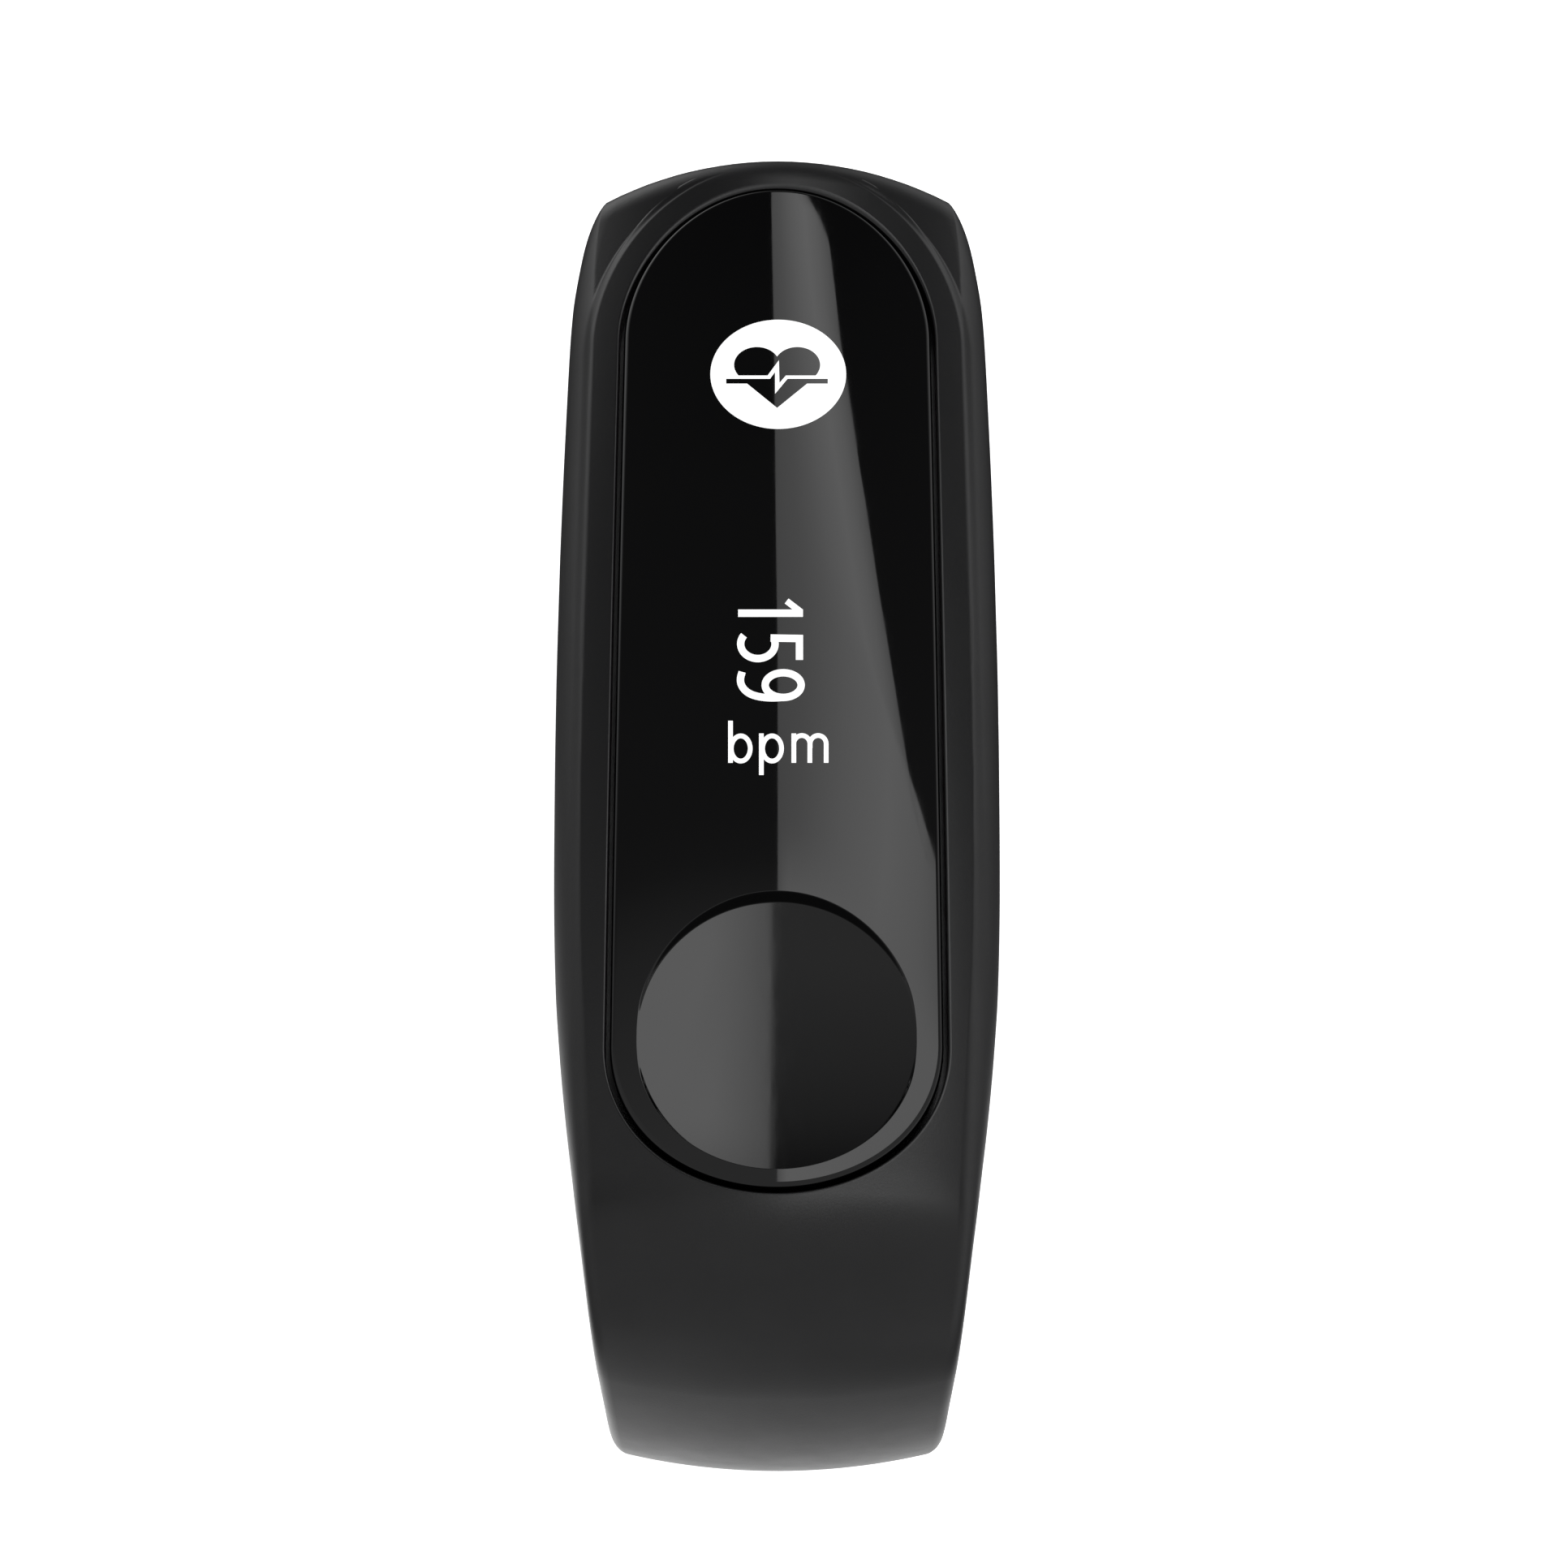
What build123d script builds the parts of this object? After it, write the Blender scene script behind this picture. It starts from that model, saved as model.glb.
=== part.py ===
from build123d import *
import math
import os

os.makedirs("parts", exist_ok=True)

# ---------------------------------------------------------------- dimensions
# Frame: +Z is the normal of the display, Y runs along the tracker, X across the wrist strap.
ZT = 50.0            # top of the domed lens above the table
R_LONG = 200.0       # long curvature of the lens and of the strap frame
R_CROWN = 20.0       # crown across the strap and the lens

WIN_W = 8.0          # half width of the window in the strap
WIN_L = 27.3         # half length of the window
CAP_TOP = 8.85       # depth of the rounded end of the window, +Y end
CAP_BOT = 7.5        # depth of the rounded end of the window, -Y end

STRAP_W = 8.0        # half width of the strap
STRAP_T = 2.2        # strap thickness
R_INNER = 40.0       # arch of the strap's wrist side
EDGE_R = 0.55        # rounding of the strap's long edges
Y_EXT = 33.4         # how far the loop reaches to each side
R_SHOULDER = 9.0     # bend of the strap at the -Y end of the frame
A_SHOULDER = 80.0    # that bend's end, from upright
R_BACK = 35.0        # the long strap's side, below that bend
R_SIDE = 60.0        # the short strap's side
SHIFT = 1.033        # the finished loop is moved this far to +Y, so that its middle is over the origin
FLAT = 8.0           # half length of the flat part under the clasp
LAYER_GAP = 0.3      # between the two strap layers at the clasp
DISC_PROUD = 0.25    # the stud's disc stands this much proud of the strap
FRAME_H = 9.0        # depth of the frame below the top of the lens
LIP_R = 197.15       # underside of the lip over the tracker's flange

RIM = 1.45           # width of the raised rim round the window
RIM_STEP = 0.55      # height of the rim over the strap at the +Y end

HOLE_L = 5.0         # adjusting holes, along the strap
HOLE_W = 3.5         # adjusting holes, across
HOLE_PITCH = 7.5
HOLE_OFF = 0.75      # the clasped hole's centre from the stud's axis
TAIL_Y = 4.5         # bending line of the long strap's free tail
SEAM = 0.3           # gap at a bending line

DISC_R = 4.5
DISC_T = 1.2
POST_R = 1.4
CAP_R = 1.65
CAP_T = 0.8

FLANGE = 0.45        # tracker flange beyond the window outline
BODY = 0.15          # tracker body beyond the window outline
LENS = -0.22         # lens inside the window outline
LENS_T = 3.0         # lens thickness at the middle
DIMPLE_Y = -19.6
DIMPLE_R = 6.6
DIMPLE_RX = 80.0     # hollow of the dimple across
Z_SPLIT = ZT - 8.6   # joint between mid frame and bottom shell
Z_BOTTOM = ZT - 11.6 # wrist side of the bottom shell
Z_FLOOR = ZT - 10.5  # inside floor of the bottom shell

ZC0 = ZT - R_LONG


# ---------------------------------------------------------------- helpers
def u(phi):
    a = math.radians(phi)
    return (0.0, math.sin(a), math.cos(a))


def radial_plane(c, phi):
    a = math.radians(phi)
    return Plane(origin=(0, c[0], c[1]), x_dir=(1, 0, 0), z_dir=(0, -math.cos(a), math.sin(a)))


def drop(x, r):
    return r - math.sqrt(r * r - x * x)


def section(plane, rad, w, t, r_in=None, crown=R_CROWN, edge=0.0):
    """Closed cross section: crowned outside at radius rad, inside t deeper, flat or arched."""
    o = drop(w, crown)
    i = drop(w, r_in) if r_in else 0.0
    with BuildSketch(plane) as sk:
        with BuildLine():
            ThreePointArc((-w, rad - o), (0, rad), (w, rad - o))
            Line((w, rad - o), (w, rad - t - i))
            if r_in:
                ThreePointArc((w, rad - t - i), (0, rad - t), (-w, rad - t - i))
            else:
                Line((w, rad - t), (-w, rad - t))
            Line((-w, rad - t - i), (-w, rad - o))
        make_face()
        if edge:
            fillet(sk.vertices(), edge)
    return sk.sketch


def sweep_arc(c, rad, phi0, phi1, w, t, r_in=None, crown=R_CROWN, edge=0.0):
    face = section(radial_plane(c, phi0), rad, w, t, r_in, crown, edge)
    return revolve(face, Axis((0, c[0], c[1]), (-1, 0, 0)), revolution_arc=phi1 - phi0)


def strap_arc(c, rad, phi0, phi1):
    return sweep_arc(c, rad, phi0, phi1, STRAP_W, STRAP_T, R_INNER, R_CROWN, EDGE_R)


def outline(o):
    """The window outline grown by o, as a flat sketch at Z = 0."""
    a = WIN_W + o
    y0, y1 = -(WIN_L - CAP_BOT), WIN_L - CAP_TOP
    sk = Pos(0, (y0 + y1) / 2) * Rectangle(2 * a, y1 - y0)
    sk += Pos(0, y1) * Ellipse(a, CAP_TOP + o)
    sk += Pos(0, y0) * Ellipse(a, CAP_BOT + o)
    return sk


def prism(sk, z0, z1):
    return extrude(Pos(0, 0, z0) * sk, amount=z1 - z0, dir=(0, 0, 1))


def barrel(c, r, x=15.0):
    """A plain cylinder along X."""
    return Pos(0, c[0], c[1]) * Rot(0, 90, 0) * Cylinder(r, 2 * x)


def box(x0, x1, y0, y1, z0, z1):
    return Pos((x0 + x1) / 2, (y0 + y1) / 2, (z0 + z1) / 2) * Box(x1 - x0, y1 - y0, z1 - z0)


def post(x, y, r, z0, z1):
    return Pos(x, y, (z0 + z1) / 2) * Cylinder(r, z1 - z0)


def shell_slice(r0, r1, y0=-32, y1=34):
    """Between two cylinders concentric with the lens, as a slab."""
    top = barrel((0, ZC0), r1)
    low = barrel((0, ZC0), r0)
    return (top - low) & box(-15, 15, y0, y1, ZT - 15, ZT + 5)


def solve(y_from, z_from, z_to):
    """Side arc of R_SIDE, then one arc down to the flat: its angle and the second radius."""
    lo, hi = 0.01, 1.2
    for _ in range(80):
        a = (lo + hi) / 2
        r3 = (y_from - R_SIDE * (1 - math.cos(a)) - FLAT) / math.cos(a)
        z = z_from - R_SIDE * math.sin(a) - r3 * (1 - math.sin(a))
        if z > z_to:
            lo = a
        else:
            hi = a
    return math.degrees(a), r3


# ---------------------------------------------------------------- loop geometry
Z_OUT = DISC_PROUD                        # outside of the outer layer at the clasp
Z_IN = Z_OUT + STRAP_T + LAYER_GAP        # outside of the inner layer at the clasp

# -Y side
PHI_N = math.degrees(math.asin(WIN_L / R_LONG))
CN1 = (-(R_LONG - R_SHOULDER) * math.sin(math.radians(PHI_N)),
       ZC0 + (R_LONG - R_SHOULDER) * math.cos(math.radians(PHI_N)))
a80 = math.radians(A_SHOULDER)
CN2 = (CN1[0] - (R_SHOULDER - R_BACK) * math.sin(a80), CN1[1] + (R_SHOULDER - R_BACK) * math.cos(a80))
s_n, c_n = FLAT + CN2[0], Z_IN + R_BACK - CN2[1]
q_n = (s_n * s_n + c_n * c_n) / (2 * c_n)
A_N, R_N = math.degrees(math.atan2(s_n, c_n - q_n)), R_BACK - q_n
CN3 = (-FLAT, Z_IN + R_N)

# +Y side
PHI_P = 56.0
Y_P = 29.25
Z_P = ZT - 2.55
R_P = (Y_EXT - Y_P) / (1 - math.sin(math.radians(PHI_P)))
CP1 = (Y_EXT - R_P, Z_P - R_P * math.cos(math.radians(PHI_P)))
A_P, R_Q = solve(Y_EXT, CP1[1], Z_OUT)
CP2 = (Y_EXT - R_SIDE, CP1[1])
CP3 = (FLAT, Z_OUT + R_Q)

# bending line of the short strap: on the outside of the strap, on the lower side arc
PHI_HINGE = 90 + A_P + 8.0
HINGE = (CP3[0] + R_Q * math.sin(math.radians(PHI_HINGE)),
         CP3[1] + R_Q * math.cos(math.radians(PHI_HINGE)))


# ---------------------------------------------------------------- strap frame
PLAN = [(-38.0, 8.0), (-35.2, 8.08), (-33.76, 8.3), (-31.58, 8.68), (-28.87, 9.07), (-25.69, 9.51),
        (-22.43, 9.94), (-19.18, 10.29), (-15.92, 10.55), (-11.04, 10.74), (-2.46, 10.88), (4.0, 10.91),
        (11.42, 10.88), (20.58, 10.75), (24.4, 10.46), (26.0, 10.2), (28.4, 9.5), (30.2, 8.85),
        (32.0, 8.3), (33.4, 8.05), (36.0, 8.0)]
with BuildSketch() as plan_sk:
    with BuildLine():
        Spline([(w, y) for y, w in PLAN], tangents=[(0, 1), (0, 1)])
        Line((PLAN[-1][1], 36.0), (-PLAN[-1][1], 36.0))
        Spline([(-w, y) for y, w in reversed(PLAN)], tangents=[(0, -1), (0, -1)])
        Line((-PLAN[0][1], -38.0), (PLAN[0][1], -38.0))
    make_face()
plan = prism(plan_sk.sketch, ZT - FRAME_H, ZT + 3)

# crowned top of the frame, dropping a little below the rim towards the +Y end
TILT = math.degrees(math.atan(RIM_STEP / (WIN_L + 22.0)))
top = sweep_arc((0, ZC0), R_LONG, -PHI_N, 12.5, 12.0, 22.0)
low_top = sweep_arc((0, ZC0), R_LONG, -PHI_N - 1.0, 12.5, 12.0, 22.0)
low_top = low_top.rotate(Axis((0, -22.0, ZT), (-1, 0, 0)), TILT)
shoulder_n = sweep_arc(CN1, R_SHOULDER, -A_SHOULDER, -PHI_N, 12.0, R_SHOULDER)
end_p = sweep_arc(CP1, R_P, 0, 90, 12.0, R_P) + box(-12, 12, -40, CP1[0] + 0.01, ZT - 30, ZT + 12)
base = (top & low_top & end_p) + shoulder_n
frame = plan & base
rim = prism(outline(RIM), ZT - FRAME_H, ZT + 3) & top & end_p
frame += rim

# straps leaving the frame
side_n0 = strap_arc(CN1, R_SHOULDER, -A_SHOULDER, -66) & box(-12, 12, -40, 0, 0, ZT - FRAME_H + 0.4)
side_n = strap_arc(CN2, R_BACK, -A_N, -A_SHOULDER)
bend_n = strap_arc(CN3, R_N, -180, -A_N)
with BuildPart() as flat_in:
    add(extrude(section(Plane(origin=(0, -FLAT, 0), x_dir=(1, 0, 0), z_dir=(0, -1, 0)), 0, STRAP_W, STRAP_T,
                        R_INNER, R_CROWN, EDGE_R), amount=-(FLAT + TAIL_Y - SEAM / 2)))
flat_in = flat_in.part


def flat_strap(y0, y1, z_out):
    """Straight piece of strap on the underside of the loop, outside facing down."""
    pl = Plane(origin=(0, y0, z_out), x_dir=(1, 0, 0), z_dir=(0, 1, 0))
    sk = section(pl, 0, STRAP_W, STRAP_T, R_INNER, R_CROWN, EDGE_R)
    return extrude(sk, amount=y1 - y0, dir=(0, 1, 0))


flat_in = flat_strap(-FLAT, TAIL_Y - SEAM / 2, Z_IN)
side_p1 = strap_arc(CP1, R_P, 62, 90)
side_p2 = strap_arc(CP2, R_SIDE, 90, 90 + A_P)
gap_deg = math.degrees(SEAM / R_Q)
side_p3 = strap_arc(CP3, R_Q, 90 + A_P, PHI_HINGE)
side_p1 = side_p1 & box(-12, 12, 0, 40, 0, ZT - FRAME_H + 0.6)

frame = frame + side_n0 + side_n + bend_n + flat_in + side_p1 + side_p2 + side_p3


def adjusting_hole(c, phi):
    """An oblong cutter through the strap, its long way along the strap; c is the arc's centre."""
    pl = radial_plane(c, phi)
    n = u(phi)
    cut = Plane(origin=(0, c[0], c[1]), x_dir=pl.z_dir, z_dir=n) * SlotOverall(HOLE_L, HOLE_W)
    return extrude(cut, amount=70, dir=n)


def flat_hole(y):
    return extrude(Pos(0, y, Z_IN - 1.0) * Rot(0, 0, 90) * SlotOverall(HOLE_L, HOLE_W), amount=STRAP_T + 3, dir=(0, 0, 1))


# adjusting holes of the fixed part of the long strap
holes = [flat_hole(HOLE_OFF), flat_hole(HOLE_OFF - HOLE_PITCH)]
bend_mid = math.radians(180 - A_N) * (R_N - STRAP_T / 2)
for n in (2, 3, 4):
    s = n * HOLE_PITCH - HOLE_OFF - FLAT
    if s < bend_mid:
        c, a = CN3, 180 - math.degrees(s / (R_N - STRAP_T / 2))
    else:
        c, a = CN2, A_N - math.degrees((s - bend_mid) / (R_BACK - STRAP_T / 2))
    holes.append(adjusting_hole(c, -a) & box(-6, 6, -45, -FLAT + 6, -5, 26))
for h in holes:
    frame -= h

# cavity for the tracker, its window and the retaining bead at the wrist side
cavity = prism(outline(FLANGE + 0.3), ZT - FRAME_H + 1.1, ZT + 3) & barrel((0, ZC0), LIP_R)
cavity += prism(outline(FLANGE + 0.05), ZT - FRAME_H - 2, ZT - FRAME_H + 1.2)
cavity += prism(outline(0.0), ZT - FRAME_H - 2, ZT + 3)
frame -= cavity
strap_frame = frame

# ---------------------------------------------------------------- short strap (outer layer at the clasp)
TIP_Y = -9.5
short = strap_arc(CP3, R_Q, PHI_HINGE + gap_deg, 180) + flat_strap(TIP_Y, FLAT, Z_OUT)
tip_keep = box(-12, 12, TIP_Y + 6.5, 40, -2, 40)
with BuildSketch() as tip_sk:
    with Locations((0, TIP_Y + 6.5)):
        Ellipse(STRAP_W, 6.5)
tip_keep += prism(tip_sk.sketch, -2, 10)
short = short & tip_keep
short -= post(0, 0, DISC_R + 0.1, -2, Z_OUT + 1.0)
short -= post(0, 0, POST_R + 0.05, -2, 6)
strap_short = short

stud = post(0, 0, DISC_R, 0, DISC_T)
stud = fillet(stud.edges().group_by(Axis.Z)[0], 0.15)
Z_CAP = Z_IN + STRAP_T + 0.25
stud += post(0, 0, POST_R, DISC_T - 0.2, Z_CAP)
stud += post(0, 0, 0.8, Z_CAP - 0.2, Z_CAP + 0.6)
clasp_stud = stud
cap = post(0, 0, CAP_R, Z_CAP, Z_CAP + CAP_T)
cap = fillet(cap.edges().group_by(Axis.Z)[-1], 0.35)
clasp_cap = cap - post(0, 0, 0.8, Z_CAP - 0.2, Z_CAP + 0.6)

# ---------------------------------------------------------------- free tail of the long strap
R_T = R_Q - STRAP_T - LAYER_GAP           # outside of the tail follows the short strap's inside
CT = (FLAT, Z_IN + R_T)
PHI_TIP = 180 - 48.0
tail = strap_arc(CT, R_T, PHI_TIP, 180) + flat_strap(TAIL_Y + SEAM / 2, FLAT, Z_IN)
tn = u(PHI_TIP)
tip_plane = Plane(origin=(0, CT[0], CT[1]), x_dir=(1, 0, 0), z_dir=tn)
s_tip = 6.5
phi_keep = PHI_TIP + math.degrees(s_tip / R_T)
keep_dir = u(phi_keep)
kp = Plane(origin=(0, CT[0], CT[1]), x_dir=(1, 0, 0), z_dir=keep_dir)
ell = extrude(kp * Ellipse(STRAP_W, s_tip * 1.0), amount=30, dir=keep_dir)
keep_tail = ell + sweep_arc(CT, R_T + 4, phi_keep, 186, 12.0, 12.0) + box(-12, 12, -2, FLAT, -2, 12)
tail = tail & keep_tail
for n in (1, 2):
    s = HOLE_OFF + n * HOLE_PITCH - FLAT
    if s <= HOLE_L / 2:
        y = HOLE_OFF + n * HOLE_PITCH
        tail -= extrude(Pos(0, y, Z_IN - 1.0) * Rot(0, 0, 90) * SlotOverall(HOLE_L, HOLE_W), amount=STRAP_T + 3.5,
                        dir=(0, 0, 1))
    else:
        phi = 180 - math.degrees(s / (R_T - STRAP_T / 2))
        tail -= adjusting_hole(CT, phi)
strap_tail = tail

# ---------------------------------------------------------------- tracker: lens
crown = sweep_arc((0, ZC0), R_LONG, -9.5, 9.5, 12.0, 14.0)
lens = prism(outline(LENS), ZT - 6, ZT + 1) & crown
lens -= barrel((0, ZC0), R_LONG - LENS_T)
# touch dimple: a round hollow, its floor cylindrical along the lens and slightly hollow across
DIMPLE_D = DIMPLE_R ** 2 * (1 / DIMPLE_RX + 1 / R_CROWN) / 2
r_f, w = R_LONG - DIMPLE_D, 9.0
phi_d = math.degrees(math.asin(DIMPLE_Y / R_LONG))
with BuildSketch(radial_plane((0, ZC0), phi_d - 3)) as dsk:
    with BuildLine():
        ThreePointArc((-w, r_f + drop(w, DIMPLE_RX)), (0, r_f), (w, r_f + drop(w, DIMPLE_RX)))
        Line((w, r_f + drop(w, DIMPLE_RX)), (w, r_f + 6))
        Line((w, r_f + 6), (-w, r_f + 6))
        Line((-w, r_f + 6), (-w, r_f + drop(w, DIMPLE_RX)))
    make_face()
over = revolve(dsk.sketch, Axis((0, 0, ZC0), (-1, 0, 0)), revolution_arc=6)
dimple = over & post(0, DIMPLE_Y, DIMPLE_R, ZT - 8, ZT + 4)
lens -= dimple
lens_cover = lens

lens_gasket = (prism(outline(-0.35), ZT - 7, ZT) - prism(outline(-1.25), ZT - 8, ZT + 1)) & shell_slice(196.85, 197.0)
touch_film = prism(outline(-1.5), ZT - 7, ZT) & shell_slice(196.75, 197.0)
display_panel = box(-6.2, 6.2, -11.5, 20.5, ZT - 8, ZT) & shell_slice(195.85, 196.75)
display_cushion = box(-5.7, 5.7, -10.5, 19.5, ZT - 8, ZT) & shell_slice(195.45, 195.85)

# ---------------------------------------------------------------- tracker: mid frame and bottom shell
flange = prism(outline(FLANGE), ZT - 8, ZT) & shell_slice(195.3, 196.85)
wall = prism(outline(BODY), Z_SPLIT, ZT) & barrel((0, ZC0), 196.0)
mid = (flange + wall) - prism(outline(-1.2), Z_SPLIT - 1, ZT + 1)
ledge = prism(outline(-1.15), ZT - 7.4, ZT - 7.0) - prism(outline(-1.9), ZT - 8, ZT)
mid_frame = mid + ledge

shell = prism(outline(BODY), Z_BOTTOM, Z_SPLIT)
shell = fillet(shell.faces().sort_by(Axis.Z)[0].edges(), 2.2)
shell -= prism(outline(-1.2), Z_FLOOR, ZT)
shell -= prism(outline(-0.2), Z_SPLIT - 0.4, ZT) - prism(outline(-0.75), Z_SPLIT - 1, ZT + 1)
HR_Y = 7.5
shell -= post(0, HR_Y, 5.05, Z_BOTTOM - 1, Z_FLOOR + 1)
CC_X, CC_Y = 2.6, -17.0
for sx in (-1, 1):
    shell -= post(sx * CC_X, CC_Y, 1.15, Z_BOTTOM - 1, Z_FLOOR + 1)
bottom_shell = shell
shell_gasket = prism(outline(-0.22), Z_SPLIT - 0.4, Z_SPLIT) - prism(outline(-0.73), Z_SPLIT - 1, Z_SPLIT + 1)

# ---------------------------------------------------------------- tracker: inside
main_board = prism(outline(-1.28), ZT - 7.0, ZT - 6.2) & box(-8, 8, -24, 24, 0, ZT)
processor_chip = box(-3.0, 3.0, -5.0, 1.0, ZT - 6.2, ZT - 5.3)
memory_chip = box(-2.5, 2.5, 5.0, 9.0, ZT - 6.2, ZT - 5.4)
accelerometer_chip = box(2.4, 5.0, -9.6, -6.6, ZT - 6.2, ZT - 5.3)
antenna_strip = box(-4.5, 4.5, 21.4, 23.2, ZT - 6.2, ZT - 5.8)

fz0, fz1, ft = ZT - 4.3, ZT - 6.2, 0.15
fr = (fz0 + ft - fz1) / 2
fzc = (fz0 + ft + fz1) / 2
flex = box(-3, 3, -13.4, -11.5, fz0, fz0 + ft) + box(-3, 3, -13.4, -10.2, fz1, fz1 + ft)
ring = barrel((-13.4, fzc), fr, 3.0) - barrel((-13.4, fzc), fr - ft, 4.0)
flex += ring & box(-3, 3, -17, -13.4, ZT - 8, ZT - 3)
display_flex = flex

BAT = (-6.2, 6.2, -21.5, 0.5, ZT - 10.35, ZT - 7.5)
battery_cell = fillet(box(*BAT).edges().filter_by(Axis.Y), 0.8)
battery_pad = box(-4.8, 4.8, -20.0, -1.0, Z_FLOOR, ZT - 10.35)
vibration_motor = post(0, 19.6, 4.0, Z_FLOOR, ZT - 7.7)
vibration_motor = fillet(vibration_motor.edges().group_by(Axis.Z)[-1], 0.3)

hr_sensor_board = box(-5.75, 5.75, HR_Y - 5.5, HR_Y + 5.5, ZT - 9.6, ZT - 9.0)
hr_led_left = box(-3.7, -2.1, HR_Y - 0.8, HR_Y + 0.8, ZT - 10.15, ZT - 9.6)
hr_led_right = box(2.1, 3.7, HR_Y - 0.8, HR_Y + 0.8, ZT - 10.15, ZT - 9.6)
hr_photodiode = box(-1.1, 1.1, HR_Y - 1.1, HR_Y + 1.1, ZT - 10.15, ZT - 9.6)
barrier = post(0, HR_Y, 4.7, Z_FLOOR, ZT - 9.6)
for cx, hx, hy in ((-2.9, 1.0, 1.1), (2.9, 1.0, 1.1), (0, 1.35, 1.35)):
    barrier -= box(cx - hx, cx + hx, HR_Y - hy, HR_Y + hy, Z_FLOOR - 1, ZT)
hr_light_barrier = barrier
win = post(0, HR_Y, 5.0, Z_BOTTOM - 0.6, Z_FLOOR)
win_ball_r = (5.0 ** 2 + 0.45 ** 2) / (2 * 0.45)
hr_window = win & (Pos(0, HR_Y, Z_BOTTOM - 0.35 + win_ball_r) * Sphere(win_ball_r))

charge = []
for sx in (-1, 1):
    pin = post(sx * CC_X, CC_Y, 1.1, Z_BOTTOM - 0.08, Z_FLOOR)
    charge.append(fillet(pin.edges().group_by(Axis.Z)[0], 0.2))

# ---------------------------------------------------------------- write
NODES = {
    "strap_frame": strap_frame,
    "strap_short": strap_short,
    "strap_tail": strap_tail,
    "clasp_stud": clasp_stud,
    "clasp_cap": clasp_cap,
    "lens_cover": lens_cover,
    "lens_gasket": lens_gasket,
    "touch_film": touch_film,
    "display_panel": display_panel,
    "display_cushion": display_cushion,
    "display_flex": display_flex,
    "mid_frame": mid_frame,
    "main_board": main_board,
    "processor_chip": processor_chip,
    "memory_chip": memory_chip,
    "accelerometer_chip": accelerometer_chip,
    "antenna_strip": antenna_strip,
    "battery_cell": battery_cell,
    "battery_pad": battery_pad,
    "vibration_motor": vibration_motor,
    "hr_sensor_board": hr_sensor_board,
    "hr_led_left": hr_led_left,
    "hr_led_right": hr_led_right,
    "hr_photodiode": hr_photodiode,
    "hr_light_barrier": hr_light_barrier,
    "hr_window": hr_window,
    "shell_gasket": shell_gasket,
    "bottom_shell": bottom_shell,
    "charge_contact_left": charge[0],
    "charge_contact_right": charge[1],
}
for name, shape in NODES.items():
    shape = Pos(0, SHIFT, 0) * shape
    solids = shape.solids()
    b = shape.bounding_box()
    print(f"{name:22s} solids {len(solids)} vol {sum(s.volume for s in solids):9.3f} "
          f"X {b.min.X:7.2f} {b.max.X:7.2f} Y {b.min.Y:7.2f} {b.max.Y:7.2f} Z {b.min.Z:7.2f} {b.max.Z:7.2f}")
    one = solids[0] if len(solids) == 1 else Compound(children=list(solids))
    export_step(one, f"parts/{name}.step")
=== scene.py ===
import math

import bpy
import numpy as np
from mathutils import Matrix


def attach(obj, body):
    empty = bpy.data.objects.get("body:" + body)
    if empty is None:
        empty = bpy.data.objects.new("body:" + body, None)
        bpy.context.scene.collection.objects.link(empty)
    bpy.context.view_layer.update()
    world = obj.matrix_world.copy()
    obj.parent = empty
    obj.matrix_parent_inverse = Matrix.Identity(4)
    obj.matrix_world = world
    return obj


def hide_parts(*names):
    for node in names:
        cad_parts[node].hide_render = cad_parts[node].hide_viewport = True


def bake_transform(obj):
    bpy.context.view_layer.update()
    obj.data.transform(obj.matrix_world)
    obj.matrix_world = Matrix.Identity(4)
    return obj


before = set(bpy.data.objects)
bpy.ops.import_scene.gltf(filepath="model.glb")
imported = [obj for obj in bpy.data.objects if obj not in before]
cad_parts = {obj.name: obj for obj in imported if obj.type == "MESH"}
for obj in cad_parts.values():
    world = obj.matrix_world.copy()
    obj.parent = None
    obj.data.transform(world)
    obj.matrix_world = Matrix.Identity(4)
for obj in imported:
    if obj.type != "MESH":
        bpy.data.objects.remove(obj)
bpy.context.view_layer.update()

MM = 0.001

# ------------------------------------------------------------------ sizes, the same as the CAD's, in millimetres
ZT, RL, RC = 50.0, 200.0, 20.0
WIN_W, WIN_L, CAP_T, CAP_B = 8.0, 27.3, 8.85, 7.5
STRAP_W, STRAP_T, R_IN = 8.0, 2.2, 40.0
Y_EXT, R_SHO, R_BACK, R_SIDE, FLAT = 33.4, 9.0, 35.0, 60.0, 8.0
SHIFT = 1.033                     # the loop's middle is put over the origin at the end
Z_OUT, GAP = 0.25, 0.3
FRAME_H, LIP_R = 9.0, 197.15
RIM, RIM_STEP = 1.45, 0.55
HOLE_L, HOLE_W, PITCH, HOLE_OFF = 5.0, 3.5, 7.5, 0.75
TAIL_Y, TIP_Y = 4.5, -9.5
LENS, LENS_T = -0.22, 3.0
DIM_Y, DIM_R, DIM_RX = -19.6, 6.6, 80.0
DIM_END = 0.40                    # the touch hollow is this much shallower at its two ends
ZC0 = ZT - RL
Z_IN = Z_OUT + STRAP_T + GAP


def solve(y_from, z_from, z_to):
    lo, hi = 0.01, 1.2
    for _ in range(80):
        a = (lo + hi) / 2
        r3 = (y_from - R_SIDE * (1 - math.cos(a)) - FLAT) / math.cos(a)
        if z_from - R_SIDE * math.sin(a) - r3 * (1 - math.sin(a)) > z_to:
            lo = a
        else:
            hi = a
    return a, r3


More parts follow.
